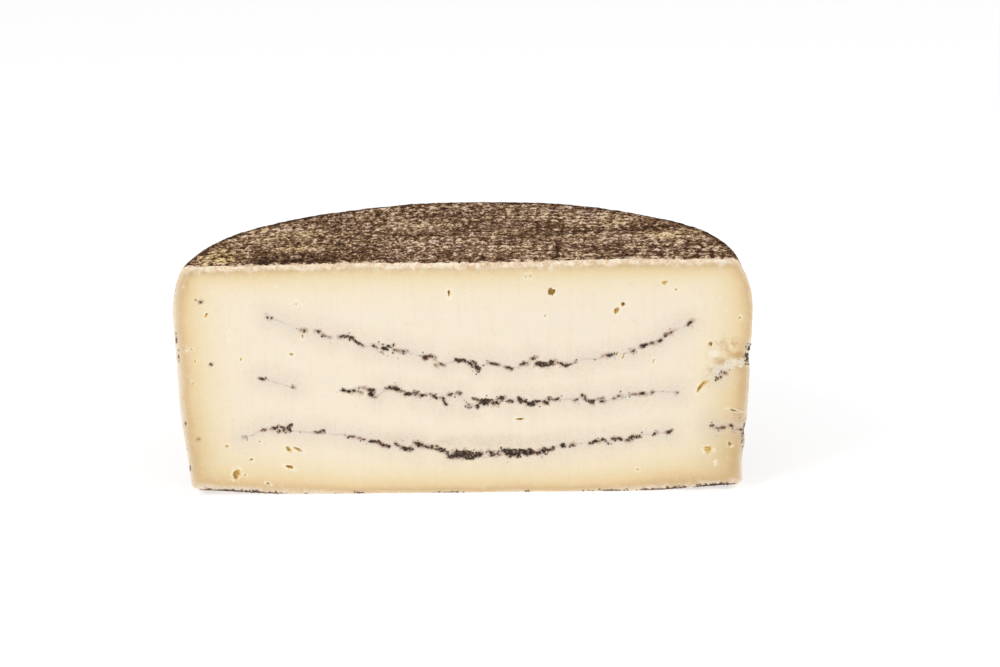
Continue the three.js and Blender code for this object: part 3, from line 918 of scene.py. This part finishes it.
def keep_flesh(thing):
    """What the finish of the cut needs to know."""
    points = places(thing)
    flat = points * [1, 0, 1]
    under_top, side, base = (distance(flat, LINES[name]) for name in ("top", "side", "base"))
    inner = 1 - smooth(38, 76, np.abs(flat[:, 0]))
    bare = smooth(20, 30, flat[:, 0]) * smooth(54, 60, flat[:, 2])
    gaps = stack(1.62 * under_top - 1.05, side + 1.1 * bare, base * (1 + 0.35 * inner) + inner)
    softness = 1.3
    depth = -softness * np.log(np.exp(-np.clip(gaps, 0, 60) / softness).sum(axis=-1))
    to_clump = clump_distance(flat, ALL_CLUMPS)
    to_thread = np.min([thread_distance(flat, clumps) for clumps in CLUMPS.values()], axis=0)
    base_rim = (1 - inner) * (1 - smooth(1.4, 2.8, base + 0.6 * noise(flat, 2, 22)))
    side_rim = 1 - smooth(0.5, 1.7, side + 0.4 * noise(flat, 4, 48))
    scar = 1 - smooth(0.6, 2.4, crack_distance(flat) + 0.8 * noise(flat, 1.6, 43))
    keep(
        thing,
        bruise=spread(flat, BRUISES) * (1 + 0.5 * noise(flat, 2.0, 42) + 0.4 * noise(flat, 0.9, 49)),
        dried=spread(flat, DRIED) + 0.15 * bell((under_top - 3.3) / 1.6),
        mouldy=mouldy(points),
        scar=scar,
        smear=spread(flat, SMEARS),
        bloom=spread(flat, PALE_SPOTS),
        foot=skin_share(points) * (1 - smooth(0.45, 1.0, base + 0.25 * noise(points, 1.5, 69))),
        rim=np.maximum(base_rim, 0.6 * side_rim * (1 - bare)) * (1 - 0.85 * spread(flat, FUZZY_EDGE)),
        depth=np.clip(depth, 0, 40),
        crust=crusted(flat, under_top),
        to_clump=np.clip(to_clump, 0, 20),
        to_thread=np.clip(to_thread, 0, 20),
        to_eye=np.clip(eye_distance(flat), -3, 20),
        behind=points[:, 1],
    )


for piece in (paste, *RIND):
    keep_flesh(piece)
for piece in RIND:
    where = places(piece)
    wear = worn(where, piece is rind_side)
    chip = chipped(where) * (1 - 0.9 * (piece is rind_side) * smooth(82.5, 86, where[:, 2]))
    golden = (3.2 - 2.0 * smooth(-86, -74, where[:, 0])) * patched(where, LIGHTER_PATCHES)
    keep(piece, wear=wear, chip=chip, golden=golden * (piece is rind_top))
    print(f"{piece.name}: mean wear {wear.mean():.2f}")


# %% [markdown]
# ## Scattering crumbs
#
# One node tree scatters every kind of crumb here: truffle in the cut, pale chips along the broken edge of
# the crust, dark skin along the foot and in the fold. It is built once, with its sizes as named inputs.
# The crumb is a cube that is divided once and rounded, 24 faces that look like a chopped lump once they
# are turned and nudged at random. At the end of the tree every crumb becomes real mesh, because copies
# that exist only while Blender runs would be lost in an export.

# %% Crumb tree
BEHIND_CUT = 0.02
FULL_TURN = 6.28
STRETCH = (0.65, 1.25)
LUMPS_PER_METRE = 1500.0


def fill(tree, socket, value):
    """Join a node's input to another node's output, or give it a constant."""
    if isinstance(value, bpy.types.NodeSocket):
        tree.links.new(value, socket)
    else:
        socket.default_value = value


def add_node(tree, kind, settings=None, sockets=None, output=0):
    """One output of a new node, once the node's settings are made and its inputs filled."""
    made = tree.nodes.new(kind)
    for key, value in (settings or {}).items():
        setattr(made, key, value)
    for key, value in (sockets or {}).items():
        fill(tree, made.inputs[key], value)
    return made.outputs[output]


def crumb_tree():
    tree = bpy.data.node_groups.new("scatter_crumbs", "GeometryNodeTree")
    for name, kind in (
        ("Geometry", "Geometry"), ("Crumbs per square metre", "Float"), ("Smallest", "Float"),
        ("Largest", "Float"), ("Unevenness", "Float"), ("Cut plane", "Float"), ("Seed", "Int"),
        ("Finish", "Material"),
    ):
        tree.interface.new_socket(name, in_out="INPUT", socket_type=f"NodeSocket{kind}")
    tree.interface.new_socket("Geometry", in_out="OUTPUT", socket_type="NodeSocketGeometry")
    given = tree.nodes.new("NodeGroupInput").outputs

    def geometry(kind, before, settings=None, **sockets):
        """The geometry that comes out of a node, from the one that goes in."""
        wanted = {"Geometry": before, **{name.replace("_", " "): value for name, value in sockets.items()}}
        return add_node(tree, f"GeometryNode{kind}", settings, wanted)

    def vector(operation, *values, **sockets):
        wanted = {**dict(enumerate(values)), **sockets}
        return add_node(tree, "ShaderNodeVectorMath", {"operation": operation}, wanted)

    def random_vector(least, most, seed):
        wanted = {0: (least,) * 3, 1: (most,) * 3, "Seed": seed}
        return add_node(tree, "FunctionNodeRandomValue", {"data_type": "FLOAT_VECTOR"}, wanted)

    def random_number(least, most, seed):
        wanted = {2: least, 3: most, "Seed": seed}
        return add_node(tree, "FunctionNodeRandomValue", {"data_type": "FLOAT"}, wanted, 1)

    points = add_node(tree, "GeometryNodeDistributePointsOnFaces", None, {
        "Mesh": given["Geometry"], "Density": given["Crumbs per square metre"], "Seed": given["Seed"],
    })
    cube = add_node(tree, "GeometryNodeMeshCube", None, {"Size": (1, 1, 1)})
    divided = add_node(tree, "GeometryNodeSubdivideMesh", None, {"Mesh": cube, "Level": 1})
    place = add_node(tree, "GeometryNodeInputPosition")
    crumb = geometry("SetPosition", divided, Position=vector("SCALE", vector("NORMALIZE", place), Scale=0.5))
    size = random_number(given["Smallest"], given["Largest"], given["Seed"])
    placed = add_node(tree, "GeometryNodeInstanceOnPoints", None, {
        "Points": points, "Instance": crumb, "Rotation": random_vector(0, FULL_TURN, 8),
        "Scale": vector("SCALE", random_vector(*STRETCH, 7), Scale=size),
    })
    stored = {"data_type": "FLOAT", "domain": "INSTANCE"}
    toned = geometry("StoreNamedAttribute", placed, stored, Name="tone", Value=random_number(0.0, 1.0, 9))
    real = geometry("RealizeInstances", toned)
    lumpy = {"Scale": LUMPS_PER_METRE, "Detail": 1.0}
    rough = add_node(tree, "ShaderNodeTexNoise", {"noise_dimensions": "3D"}, lumpy, "Color")
    nudge = vector("SCALE", vector("SUBTRACT", rough, (0.5, 0.5, 0.5)), Scale=given["Unevenness"])
    uneven = geometry("SetPosition", real, Offset=nudge)
    x, y, z = add_node(tree, "ShaderNodeSeparateXYZ", None, {0: place}).node.outputs
    stopped = add_node(tree, "ShaderNodeMath", {"operation": "MAXIMUM"}, {0: y, 1: given["Cut plane"]})
    cut_place = add_node(tree, "ShaderNodeCombineXYZ", None, {"X": x, "Y": stopped, "Z": z})
    soft = geometry("SetShadeSmooth", geometry("SetPosition", uneven, Position=cut_place))
    finished = geometry("SetMaterial", soft, Material=given["Finish"])
    fill(tree, tree.nodes.new("NodeGroupOutput").inputs["Geometry"], finished)
    return tree


CRUMBS = crumb_tree()


def scatter(name, points, faces, finish, per_square_mm, sizes, seed, unevenness=0.6):
    """A piece of crumbs scattered over a marker mesh, which isn't kept."""
    thing = solid(name, points, faces)
    modifier = thing.modifiers.new("crumbs", "NODES")
    modifier.node_group = CRUMBS
    wanted = {
        "Crumbs per square metre": per_square_mm * 1e6,
        "Smallest": sizes[0] * MM,
        "Largest": sizes[1] * MM,
        "Unevenness": unevenness * MM,
        "Cut plane": (CUT_Y + BEHIND_CUT) * MM,
        "Seed": seed,
        "Finish": material(finish),
    }
    for item in CRUMBS.interface.items_tree:
        if item.name in wanted:
            modifier[item.identifier] = wanted[item.name]
    settled(thing)
    return report(thing)


# %% [markdown]
# The cut face is laid out in small squares, and each square gets a share: most of 1 inside a clump,
# little round it, and a trace along the threads between clumps. A square stays when a repeatable random
# number is under its share. What stays marks where crumbs go. They sit half in the paste, and the tree
# flattens them at the cut, as the knife did.

# %% Truffle pieces
GRAIN = 0.4


def marker_cells(spots, share, seed, size=GRAIN):
    """Small slanted faces for crumbs, at those spots whose chance is under their share."""
    kept = spots[0.5 + 0.5 * chance(np.round(spots / size), seed) < share]
    corners = np.array([(-0.5, 0, -0.5), (0.5, 0, -0.5), (0.5, 1, 0.5), (-0.5, 1, 0.5)]) * size
    points = (kept[:, None] + corners).reshape(-1, 3)
    return points, np.arange(len(points)).reshape(-1, 4).tolist()


def face_grid(left, right, bottom, top, behind=0.1):
    """The middles of the small squares over a stretch of the cut face."""
    across, up = np.arange(left, right, GRAIN), np.arange(bottom, top, GRAIN)
    return stack(across[None, :], behind, up[:, None]).reshape(-1, 3)


def truffle_cells(clumps):
    """Marker faces for one layer: close together in its clumps, few round them and along its threads."""
    heights = [z for clump in clumps for z in (clump[1], clump[3])]
    spots = face_grid(-96, 104, min(heights) - 3, max(heights) + 3)
    spots = spots[spots[:, 0] < edge_at(spots[:, 2], right=True) - 0.8]
    gap = clump_distance(spots, clumps)
    share = np.where(gap == 0, 0.86, 0.24 * np.exp(-gap / 0.5))
    share = np.maximum(share, 0.07 * (thread_distance(spots, clumps) < 0.35))
    return marker_cells(spots, share, seed=50)


truffles = {}
for seed, (name, layer) in enumerate(LAYERS.items(), start=51):
    crumbs = scatter(
        f"truffle_{name}", *truffle_cells(CLUMPS[name]), "truffle",
        per_square_mm=5.5, sizes=(0.25, 0.64), seed=seed,
    )
    layer_sheet = solid("sheet", *sheet(layer))
    layer_sheet.data.materials.clear()
    layer_sheet.data.materials.append(material("truffle"))
    layer_sheet.data.polygons.foreach_set("material_index", np.zeros(len(layer_sheet.data.polygons), int))
    with bpy.context.temp_override(active_object=crumbs, selected_editable_objects=[crumbs, layer_sheet]):
        bpy.ops.object.join()
    truffles[name] = report(crumbs)

# %% [markdown]
# Under the rind the dry crust breaks rather than cuts, so small pale chips stand along its edge. They
# come in clusters with bare stretches between. Along the foot the thin dark skin of the base shows as a
# broken line.

# %% Crumbs of the crust and of the base's skin
def along_line(line, rows, behind):
    """Spots along a line of the cut, in rows at those heights from it."""
    across = np.arange(line[:, 0].min(), line[:, 0].max(), GRAIN)
    height = np.interp(across, line[:, 0], line[:, 2])
    return stack(across, behind, height + np.array(rows)[:, None]).reshape(-1, 3)


crust_spots = along_line(LINES["top"], (-0.75, -1.15, -1.6, -2.2), behind=0.15)
crust_clusters = 0.30 + 0.6 * noise(crust_spots, 6, 61) + 0.4 * noise(crust_spots, 2, 62)
crust_crumbs = scatter(
    "crust_crumbs", *marker_cells(crust_spots, 0.42 * crust_clusters, seed=63), "crumb",
    per_square_mm=5, sizes=(0.3, 0.75), seed=63,
)

base_spots = along_line(LINES["base"][2:-2], (0.5, 0.85, 1.2), behind=0.1)
base_height = base_spots[:, 2] - np.interp(base_spots[:, 0], *LINES["base"][:, [0, 2]].T)
base_share = skin_share(base_spots) - 0.25 * (base_height > 0.7) - 0.45 * (base_height > 1)
base_skin = scatter(
    "base_skin", *marker_cells(base_spots, base_share, seed=68), "mould",
    per_square_mm=9, sizes=(0.28, 0.52), unevenness=0.25, seed=68,
)

# %% [markdown]
# Deep in the fold at the right end of the cut the rind's dark skin is seen edge on, as a bent dark line
# with mould on it. It gets crumbs of its own along that line. The other spots of mould are flat and only
# painted.

# %% Skin in the fold
FOLD_SKIN = [(104.9, 55.8), (104.3, 53.9), (103.4, 51.8), (103.0, 50.2), (103.2, 49.0), (103.9, 48.0)]


def fold_cells():
    """Marker faces along the line of dark skin in the fold."""
    ends = [(min(x, edge_at(z, right=True) - 0.3), z) for x, z in FOLD_SKIN]
    (right, _), (_, bottom) = np.max(ends, axis=0), np.min(ends, axis=0)
    spots = face_grid(right - 4, right + 1, bottom - 1, bottom + 10, behind=0.05)
    spots = spots[spots[:, 0] < edge_at(spots[:, 2], right=True) - 0.1]
    line = np.min([line_distance(spots, *a, *b) for a, b in zip(ends, ends[1:])], axis=0)
    return marker_cells(spots, 0.80 * bell(line / 0.40) + 0.10 * np.exp(-line / 1.1), seed=70)


mould = scatter("mould", *fold_cells(), "mould", per_square_mm=14, sizes=(0.2, 0.48), seed=71)


# %% [markdown]
# ## Finishes
#
# A material in Blender is a tree of nodes, and long trees are hard to read when each node is made by
# hand. So one small class stands for a value on its way through the tree. With it a finish reads as a
# sentence of maths, and every sum or product adds its node by itself.

# %% Finish helpers
def tint(red, green, blue):
    """A colour as seen in a picture, 0 to 255, as the linear light that Blender mixes."""
    seen = np.array([red, green, blue]) / 255
    light = np.where(seen <= 0.04045, seen / 12.92, ((seen + 0.055) / 1.055) ** 2.4)
    return (*light.tolist(), 1.0)


class Value:
    """A number or colour on its way through a finish's tree."""

    def __init__(self, finish, socket):
        self.finish = finish
        self.socket = socket

    def maths(self, operation, first, second):
        return self.finish.node("ShaderNodeMath", {"operation": operation}, {0: first, 1: second})

    def __add__(self, other):
        return self.maths("ADD", self, other)

    def __radd__(self, other):
        return self.maths("ADD", other, self)

    def __sub__(self, other):
        return self.maths("SUBTRACT", self, other)

    def __rsub__(self, other):
        return self.maths("SUBTRACT", other, self)

    def __mul__(self, other):
        return self.maths("MULTIPLY", self, other)

    def __rmul__(self, other):
        return self.maths("MULTIPLY", other, self)


class Finish:
    """A material, and the few ways in which the finishes here add nodes to it."""

    def __init__(self, name):
        self.material = material(name)
        self.material.use_nodes = True
        self.tree = self.material.node_tree
        self.shader = self.tree.nodes["Principled BSDF"]
        self.place = self.node("ShaderNodeTexCoord", None, None, "Object")
        self.colour = None

    def node(self, kind, settings=None, sockets=None, output=0):
        plain = {key: getattr(value, "socket", value) for key, value in (sockets or {}).items()}
        return Value(self, add_node(self.tree, kind, settings, plain, output))

    def attribute(self, name):
        return self.node("ShaderNodeAttribute", {"attribute_name": name}, None, "Fac")

    def grain(self, size, detail=2, stretch=(1, 1, 1)):
        """Noise from 0 to 1, mostly near 0.5, with lumps about size millimetres wide."""
        place = self.node("ShaderNodeMapping", None, {"Vector": self.place, "Scale": stretch})
        wanted = {"Vector": place, "Scale": 1000 / size, "Detail": detail, "Roughness": 0.5}
        return self.node("ShaderNodeTexNoise", None, wanted, "Fac")

    def between(self, value, start, end):
        """0 up to start and 1 from end, with a soft rise between."""
        return self.node("ShaderNodeMapRange", {"interpolation_type": "SMOOTHSTEP"}, {
            "Value": value, "From Min": start, "From Max": end,
        })

    def ramp(self, value, stops):
        """The colour that a row of stops, each a place and a colour, has at the value."""
        made = self.node("ShaderNodeValToRGB", None, {"Fac": value})
        elements = made.socket.node.color_ramp.elements
        while len(elements) < len(stops):
            elements.new(1)
        for element, (place, colour) in zip(elements, stops):
            element.position = place
            element.color = colour
        return made

    def blend(self, share, first, second, kind="MIX"):
        """One colour mixed into another; the node takes colours at 6 and 7 and gives one at 2."""
        return self.node("ShaderNodeMix", {"data_type": "RGBA", "blend_type": kind}, {
            0: share, 6: first, 7: second,
        }, 2)

    def over(self, share, paint, kind="MIX"):
        """Lay a share of a paint over the colour so far."""
        self.colour = self.blend(share, self.colour, paint, kind)

    def bump(self, height, distance):
        """A bumped normal, whose relief is distance millimetres for a height of 1."""
        wanted = {"Height": height, "Distance": distance * MM, "Strength": 1.0}
        return self.node("ShaderNodeBump", None, wanted, "Normal")

    def finish(self, **sockets):
        """Join values and constants to the shader's own sockets."""
        for name, value in sockets.items():
            fill(self.tree, self.shader.inputs[name.replace("_", " ")], getattr(value, "socket", value))


# %% [markdown]
# ## The cut face
#
# From the rind inwards the paste goes from a pale dry edge over a tan band to straw yellow and then to
# ivory. That follows the distance to the rind, so a ramp over the depth attribute is the natural tool.
# Over that come brown bruises and pale spots, the pinkish crumbly crust under the top, a grey stain that
# the truffle leaves along its layers, a painted shadow and a rusty rim round each clump, a painted
# highlight on the lip of each eye, painted light and shade inside the eyes, gold where light shines
# through the paste and brown deeper in, where shade falls, and dark mould beside the folds.

# %% Flesh finish
DEEPEST = 32


def flesh_finish():
    flesh = Finish("flesh")
    depth, crust, rim_share, dried, foot = map(flesh.attribute, ("depth", "crust", "rim", "dried", "foot"))
    to_clump, to_thread, to_eye, behind = map(flesh.attribute, ("to_clump", "to_thread", "to_eye", "behind"))
    bruise, scar, bloom, smear = map(flesh.attribute, ("bruise", "scar", "bloom", "smear"))
    coarse, medium = flesh.grain(14), flesh.grain(3.5)
    fine, finest = flesh.grain(0.9, 3), flesh.grain(0.42, 2)

    wandering = depth + 2.2 * (coarse - 0.5) + 0.9 * (medium - 0.5)
    bands = [
        (0, tint(248, 236, 221)), (0.9, tint(240, 223, 200)), (1.6, tint(233, 209, 175)),
        (2.3, tint(225, 197, 156)), (3.1, tint(223, 193, 148)), (4, tint(228, 199, 152)),
        (5, tint(233, 207, 161)), (6.2, tint(237, 213, 168)), (8, tint(239, 219, 177)),
        (11, tint(242, 225, 190)), (15, tint(245, 229, 199)), (20, tint(246, 232, 207)),
        (30, tint(246, 233, 212)),
    ]
    stops = [(inward / DEEPEST, shade) for inward, shade in bands]
    flesh.colour = flesh.ramp(wandering * (1 / DEEPEST), stops)
    flesh.over(dried, tint(192, 160, 104))
    pale = flesh.between(fine + 0.35 * (medium - 0.5), 0.58, 0.72)
    flesh.over(0.28 * pale * (1 - dried), tint(252, 246, 234))
    dull = flesh.between(medium, 0.55, 0.75)
    flesh.over(0.16 * dull, tint(226, 207, 174))
    drag = flesh.grain(1.6, 2, (1, 1, 0.07))
    flesh.over(0.09 * flesh.between(drag, 0.52, 0.70), tint(222, 204, 176))
    bruise += 0.9 * (medium - 0.5) + 0.9 * (fine - 0.5) + 0.5 * (finest - 0.5)
    brown = flesh.between(bruise, 0.15, 1.1)
    flesh.over(0.85 * brown, tint(204, 166, 116))
    white = flesh.between(scar + 1.3 * (fine - 0.5) + 1.0 * (finest - 0.5), 0.38, 0.72)
    flesh.over(0.68 * white, tint(248, 239, 222))
    speck = scar * (1 - flesh.between(fine + 0.8 * (finest - 0.5), 0.40, 0.47))
    flesh.over(0.34 * speck, tint(150, 120, 96))

    bright = flesh.between(bloom + 0.7 * (fine - 0.5), 0.28, 0.62)
    flesh.over(0.75 * bright, tint(250, 238, 220))

    crumbly = flesh.between(0.5 * flesh.grain(1.9, 3) + 0.3 * fine + 0.2 * medium, 0.41, 0.55)
    pinkish = flesh.blend(crumbly, tint(234, 203, 170), tint(255, 240, 216))
    flesh.over(0.92 * crust, pinkish)
    dusty = flesh.blend(crumbly, tint(226, 195, 158), tint(247, 229, 208))
    flesh.over(0.70 * rim_share, dusty)

    smear *= 0.7 + 1.6 * (medium - 0.5) + 1.2 * (fine - 0.5)
    flesh.over(0.55 * smear, tint(204, 186, 166))
    halo = 1 - flesh.between(to_thread + 4 * (coarse - 0.5), 1.5, 9)
    flesh.over(0.30 * halo, tint(226, 211, 192))
    flesh.over(0.22 * halo * flesh.between(fine, 0.50, 0.66), tint(206, 184, 156))
    stain = 1 - flesh.between(to_thread + 1.6 * (medium - 0.5), 0.3, 3.4)
    flesh.over(0.34 * stain, tint(226, 214, 204))
    thread = (1 - flesh.between(to_thread, 0.15, 0.60)) * flesh.between(coarse, 0.38, 0.52)
    flesh.over(0.34 * thread, tint(196, 174, 152))
    shadow = 1 - flesh.between(to_clump + 0.8 * (fine - 0.5), 0.05, 1.3)
    flesh.over(0.42 * shadow, tint(172, 138, 112))
    rust = (1 - flesh.between(to_clump, 0.0, 1.0)) * flesh.between(medium, 0.47, 0.56)
    flesh.over(0.46 * rust, tint(152, 98, 62))

    # A painted highlight: the lip round each eye is made paler where it catches the light.
    lip = (1 - flesh.between(to_eye, 0.2, 0.9)) * flesh.between(fine, 0.42, 0.56)
    flesh.over(0.60 * lip, tint(253, 246, 222))
    # Painted light and shade inside each eye: gold where light shines through the paste, darker brown deeper
    # in, where shade falls.
    hollow = (1 - flesh.between(to_eye, 0.1, 0.7)) * flesh.between(behind, 0.25, 0.55)
    depths = behind + 1.2 * (fine - 0.5)
    eye_glow_and_shade = flesh.blend(flesh.between(depths, 0.4, 1.2), tint(242, 220, 160), tint(214, 176, 104))
    eye_glow_and_shade = flesh.blend(0.4 * flesh.between(depths, 0.9, 1.5), eye_glow_and_shade, tint(172, 132, 66))
    flesh.over(hollow, eye_glow_and_shade)
    spots = flesh.between(flesh.attribute("mouldy") + 1.0 * (fine - 0.5) + 0.6 * (finest - 0.5), 0.30, 0.60)
    flesh.over(0.85 * spots, tint(88, 70, 58))
    flesh.over(0.75 * flesh.between(foot + 0.8 * (fine - 0.5), 0.25, 0.60), tint(104, 84, 68))
    tear = (1 - flesh.between(to_clump, 0.0, 0.35)) * flesh.between(fine, 0.40, 0.60)
    flesh.over(0.8 * tear, tint(78, 54, 40))

    height = 0.5 * fine + 0.5 * flesh.grain(0.35, 2)
    flesh.finish(
        Base_Color=flesh.colour,
        Roughness=0.5 + 0.25 * (medium - 0.5) + 0.15 * crust,
        Normal=flesh.bump(height, distance=0.12),
        Subsurface_Weight=0.2,
        Subsurface_Radius=(1.0, 0.6, 0.3),
        Subsurface_Scale=0.002,
        IOR=1.42,
        Specular_IOR_Level=0.35,
    )


flesh_finish()

# %% [markdown]
# ## The skin of the rind
#
# The skin is dark brown with mauve and gold in it, from mould that was brushed and oiled again and again.
# The pillows between the net's cords are rubbed through to beige. The wear attribute carries that, three
# sizes of grain break it up into flecks, and one ramp turns the sum into colour, from the dark of the
# grooves to the palest flecks, so that no pillow looks like its neighbour.

# %% Skin finish
def skin_finish():
    skin = Finish("skin")
    wear, golden, chip, spots = map(skin.attribute, ("wear", "golden", "chip", "mouldy"))
    wide, coarse, medium = skin.grain(30), skin.grain(9), skin.grain(2.1, 2, (1, 0.65, 1))
    fine, finest = skin.grain(1.1, 3, (1, 0.65, 1)), skin.grain(0.6, 3, (1, 0.65, 1))
    tone = wear + 1.15 * (medium - 0.5) + 2.2 * (fine - 0.5) + 1.95 * (finest - 0.5)
    skin.colour = skin.ramp((tone + 0.6) * (1 / 1.8), [
        (0.11, tint(48, 29, 13)), (0.25, tint(73, 48, 27)), (0.37, tint(97, 70, 46)),
        (0.49, tint(128, 99, 75)), (0.61, tint(162, 133, 107)), (0.71, tint(204, 176, 148)),
        (0.83, tint(252, 228, 200)),
    ])
    warm = skin.between(0.4 * skin.grain(3.2) + 0.35 * coarse + 0.25 * wide, 0.43, 0.57)
    hue = skin.blend(warm, tint(252, 248, 252), tint(255, 250, 237))
    hue = skin.blend(golden, hue, tint(255, 247, 205))
    skin.over(1.0, hue, "MULTIPLY")
    bare = skin.blend(skin.between(fine, 0.38, 0.60), tint(224, 187, 152), tint(250, 228, 202))
    skin.over(0.95 * chip, bare)
    spots = skin.between(spots + 0.8 * (fine - 0.5), 0.30, 0.60)
    skin.over(0.85 * spots, tint(88, 70, 58))
    skin.finish(
        Base_Color=skin.colour,
        Roughness=0.72 + 0.16 * skin.between(wear, -0.2, 0.3),
        Normal=skin.bump(0.6 * fine + 0.4 * finest, distance=0.36),
        IOR=1.45,
        Specular_IOR_Level=0.05,
    )


skin_finish()

# %% [markdown]
# ## Truffle, crumbs and mould
#
# Black truffle isn't one black. Its flesh is brown-black with paler veins, and where oil has drawn its
# colour out it turns rust and ochre. Each crumb carries its own random tone, so some crumbs can be brown
# among black ones.

# %% Truffle and crumb finishes
def truffle_finish():
    truffle = Finish("truffle")
    tone = truffle.attribute("tone")
    coarse, fine = truffle.grain(5), truffle.grain(0.5, 3)
    truffle.colour = truffle.ramp(fine, [
        (0.36, tint(30, 20, 14)), (0.54, tint(52, 34, 24)), (0.72, tint(92, 64, 44)),
    ])
    brown = truffle.between(tone + 0.9 * (coarse - 0.5), 0.72, 0.96)
    truffle.over(0.75 * brown, tint(134, 90, 56))
    truffle.finish(
        Base_Color=truffle.colour,
        Roughness=0.42 + 0.3 * (fine - 0.5),
        Normal=truffle.bump(fine, distance=0.12),
        Specular_IOR_Level=0.4,
    )


def dusted_finish(name, grain_size, stops, dust_share, dust, roughness, shine):
    """A finish for crumbs that are coloured by their own tone, with finer dust on them."""
    crumb = Finish(name)
    tone = crumb.attribute("tone")
    fine = crumb.grain(grain_size, 3)
    crumb.colour = crumb.ramp(tone, stops)
    crumb.over(dust_share * crumb.between(fine, 0.5, 0.66), dust)
    crumb.finish(
        Base_Color=crumb.colour,
        Roughness=roughness,
        Normal=crumb.bump(fine, distance=0.08),
        Specular_IOR_Level=shine,
    )


truffle_finish()
dusted_finish(
    "crumb", 0.6, [(0.0, tint(220, 184, 148)), (0.3, tint(241, 213, 181)), (0.8, tint(252, 232, 207))],
    dust_share=0.35, dust=tint(250, 238, 218), roughness=0.7, shine=0.3,
)
dusted_finish(
    "mould", 0.5, [(0.0, tint(48, 38, 32)), (0.6, tint(88, 70, 58)), (1.0, tint(142, 118, 102))],
    dust_share=0.4, dust=tint(24, 18, 16), roughness=0.85, shine=0.2,
)

# %% [markdown]
# ## Into the frame
#
# Every piece rides on the one body, and the solid that it stands for is hidden.

# %% Ride on the body and hide the solid
for piece, node, slot in (
    (paste, "cheese", "cheese"),
    (rind_top, "cheese", "rind"),
    (rind_side, "cheese", "rind"),
    (rind_base, "cheese", "rind"),
    (crust_crumbs, "cheese", "cheese"),
    (base_skin, "cheese", "rind"),
    (mould, "cheese", "rind"),
    (truffles["upper"], "truffle_layer_upper", "truffle"),
    (truffles["middle"], "truffle_layer_middle", "truffle"),
    (truffles["lower"], "truffle_layer_lower", "truffle"),
):
    piece.data.shade_smooth()
    piece.data.set_sharp_from_angle(angle=math.radians(SHARP_ANGLE))
    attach(piece, "root")
    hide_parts(node)

# %% [markdown]
# ## Studio
#
# The cheese stands in white, evenly lit from all round, with a little more light from the upper left. A
# white world does most of that. Two large soft lamps give the cut its slight fall of light from left to
# right and draw out the relief of the rind.

# %% Floor and light
FLOOR_REACH = 4
FLOOR_GLOW = 0.66
WORLD_LIGHT = 0.58
floor_mesh = bpy.data.meshes.new("floor")
signs = ((-1, -1), (1, -1), (1, 1), (-1, 1))
floor_corners = [(across * FLOOR_REACH, back * FLOOR_REACH, 0) for across, back in signs]
floor_mesh.from_pydata(floor_corners, [], [(0, 1, 2, 3)])
floor = new_object("floor", floor_mesh)
floor_finish = Finish("floor")
floor_finish.finish(
    Base_Color=(0.5, 0.5, 0.5, 1),
    Roughness=0.9,
    Specular_IOR_Level=0.0,
    Emission_Color=(1, 1, 1, 1),
    Emission_Strength=FLOOR_GLOW,
)
floor_mesh.materials.append(floor_finish.material)

world = bpy.data.worlds.new("studio")
bpy.context.scene.world = world
world.use_nodes = True
world.node_tree.nodes["Background"].inputs["Color"].default_value = (1, 1, 1, 1)
world.node_tree.nodes["Background"].inputs["Strength"].default_value = WORLD_LIGHT


def lamp(name, place, size, power, aim=(0, 0, 0.04)):
    """A square soft lamp, given by metres and watts."""
    data = bpy.data.lights.new(name, "AREA")
    data.size = size
    data.energy = power
    made = new_object(name, data)
    direction = Vector(aim) - Vector(place)
    made.matrix_world = Matrix.Translation(place) @ direction.to_track_quat("-Z", "Y").to_matrix().to_4x4()


lamp("upper_left", place=(-0.9, -0.9, 1.1), size=0.6, power=7.2)
lamp("upper_right", place=(1.1, -0.5, 1.2), size=0.8, power=4)

# %% [markdown]
# ## Camera
#
# The photograph was taken with a long lens from a little above, a touch to the right of the middle.

# %% Camera
DISTANCE = 853.8
AZIMUTH = math.radians(2.2)
ELEVATION = math.radians(15.66)
ROLL = math.radians(1.33)
AIM = Vector((13.8, CUT_Y, 60.9))
away = Vector((
    math.sin(AZIMUTH) * math.cos(ELEVATION),
    -math.cos(AZIMUTH) * math.cos(ELEVATION),
    math.sin(ELEVATION),
))
camera = new_object("camera", bpy.data.cameras.new("camera"))
camera.data.lens = 85
camera.data.sensor_width = 36
facing = away.to_track_quat("Z", "Y").to_matrix().to_4x4()
rolled = facing @ Matrix.Rotation(-ROLL, 4, "Z")
camera.matrix_world = Matrix.Translation((AIM + away * DISTANCE) * MM) @ rolled
bpy.context.scene.camera = camera
bpy.context.scene.view_settings.view_transform = "Standard"
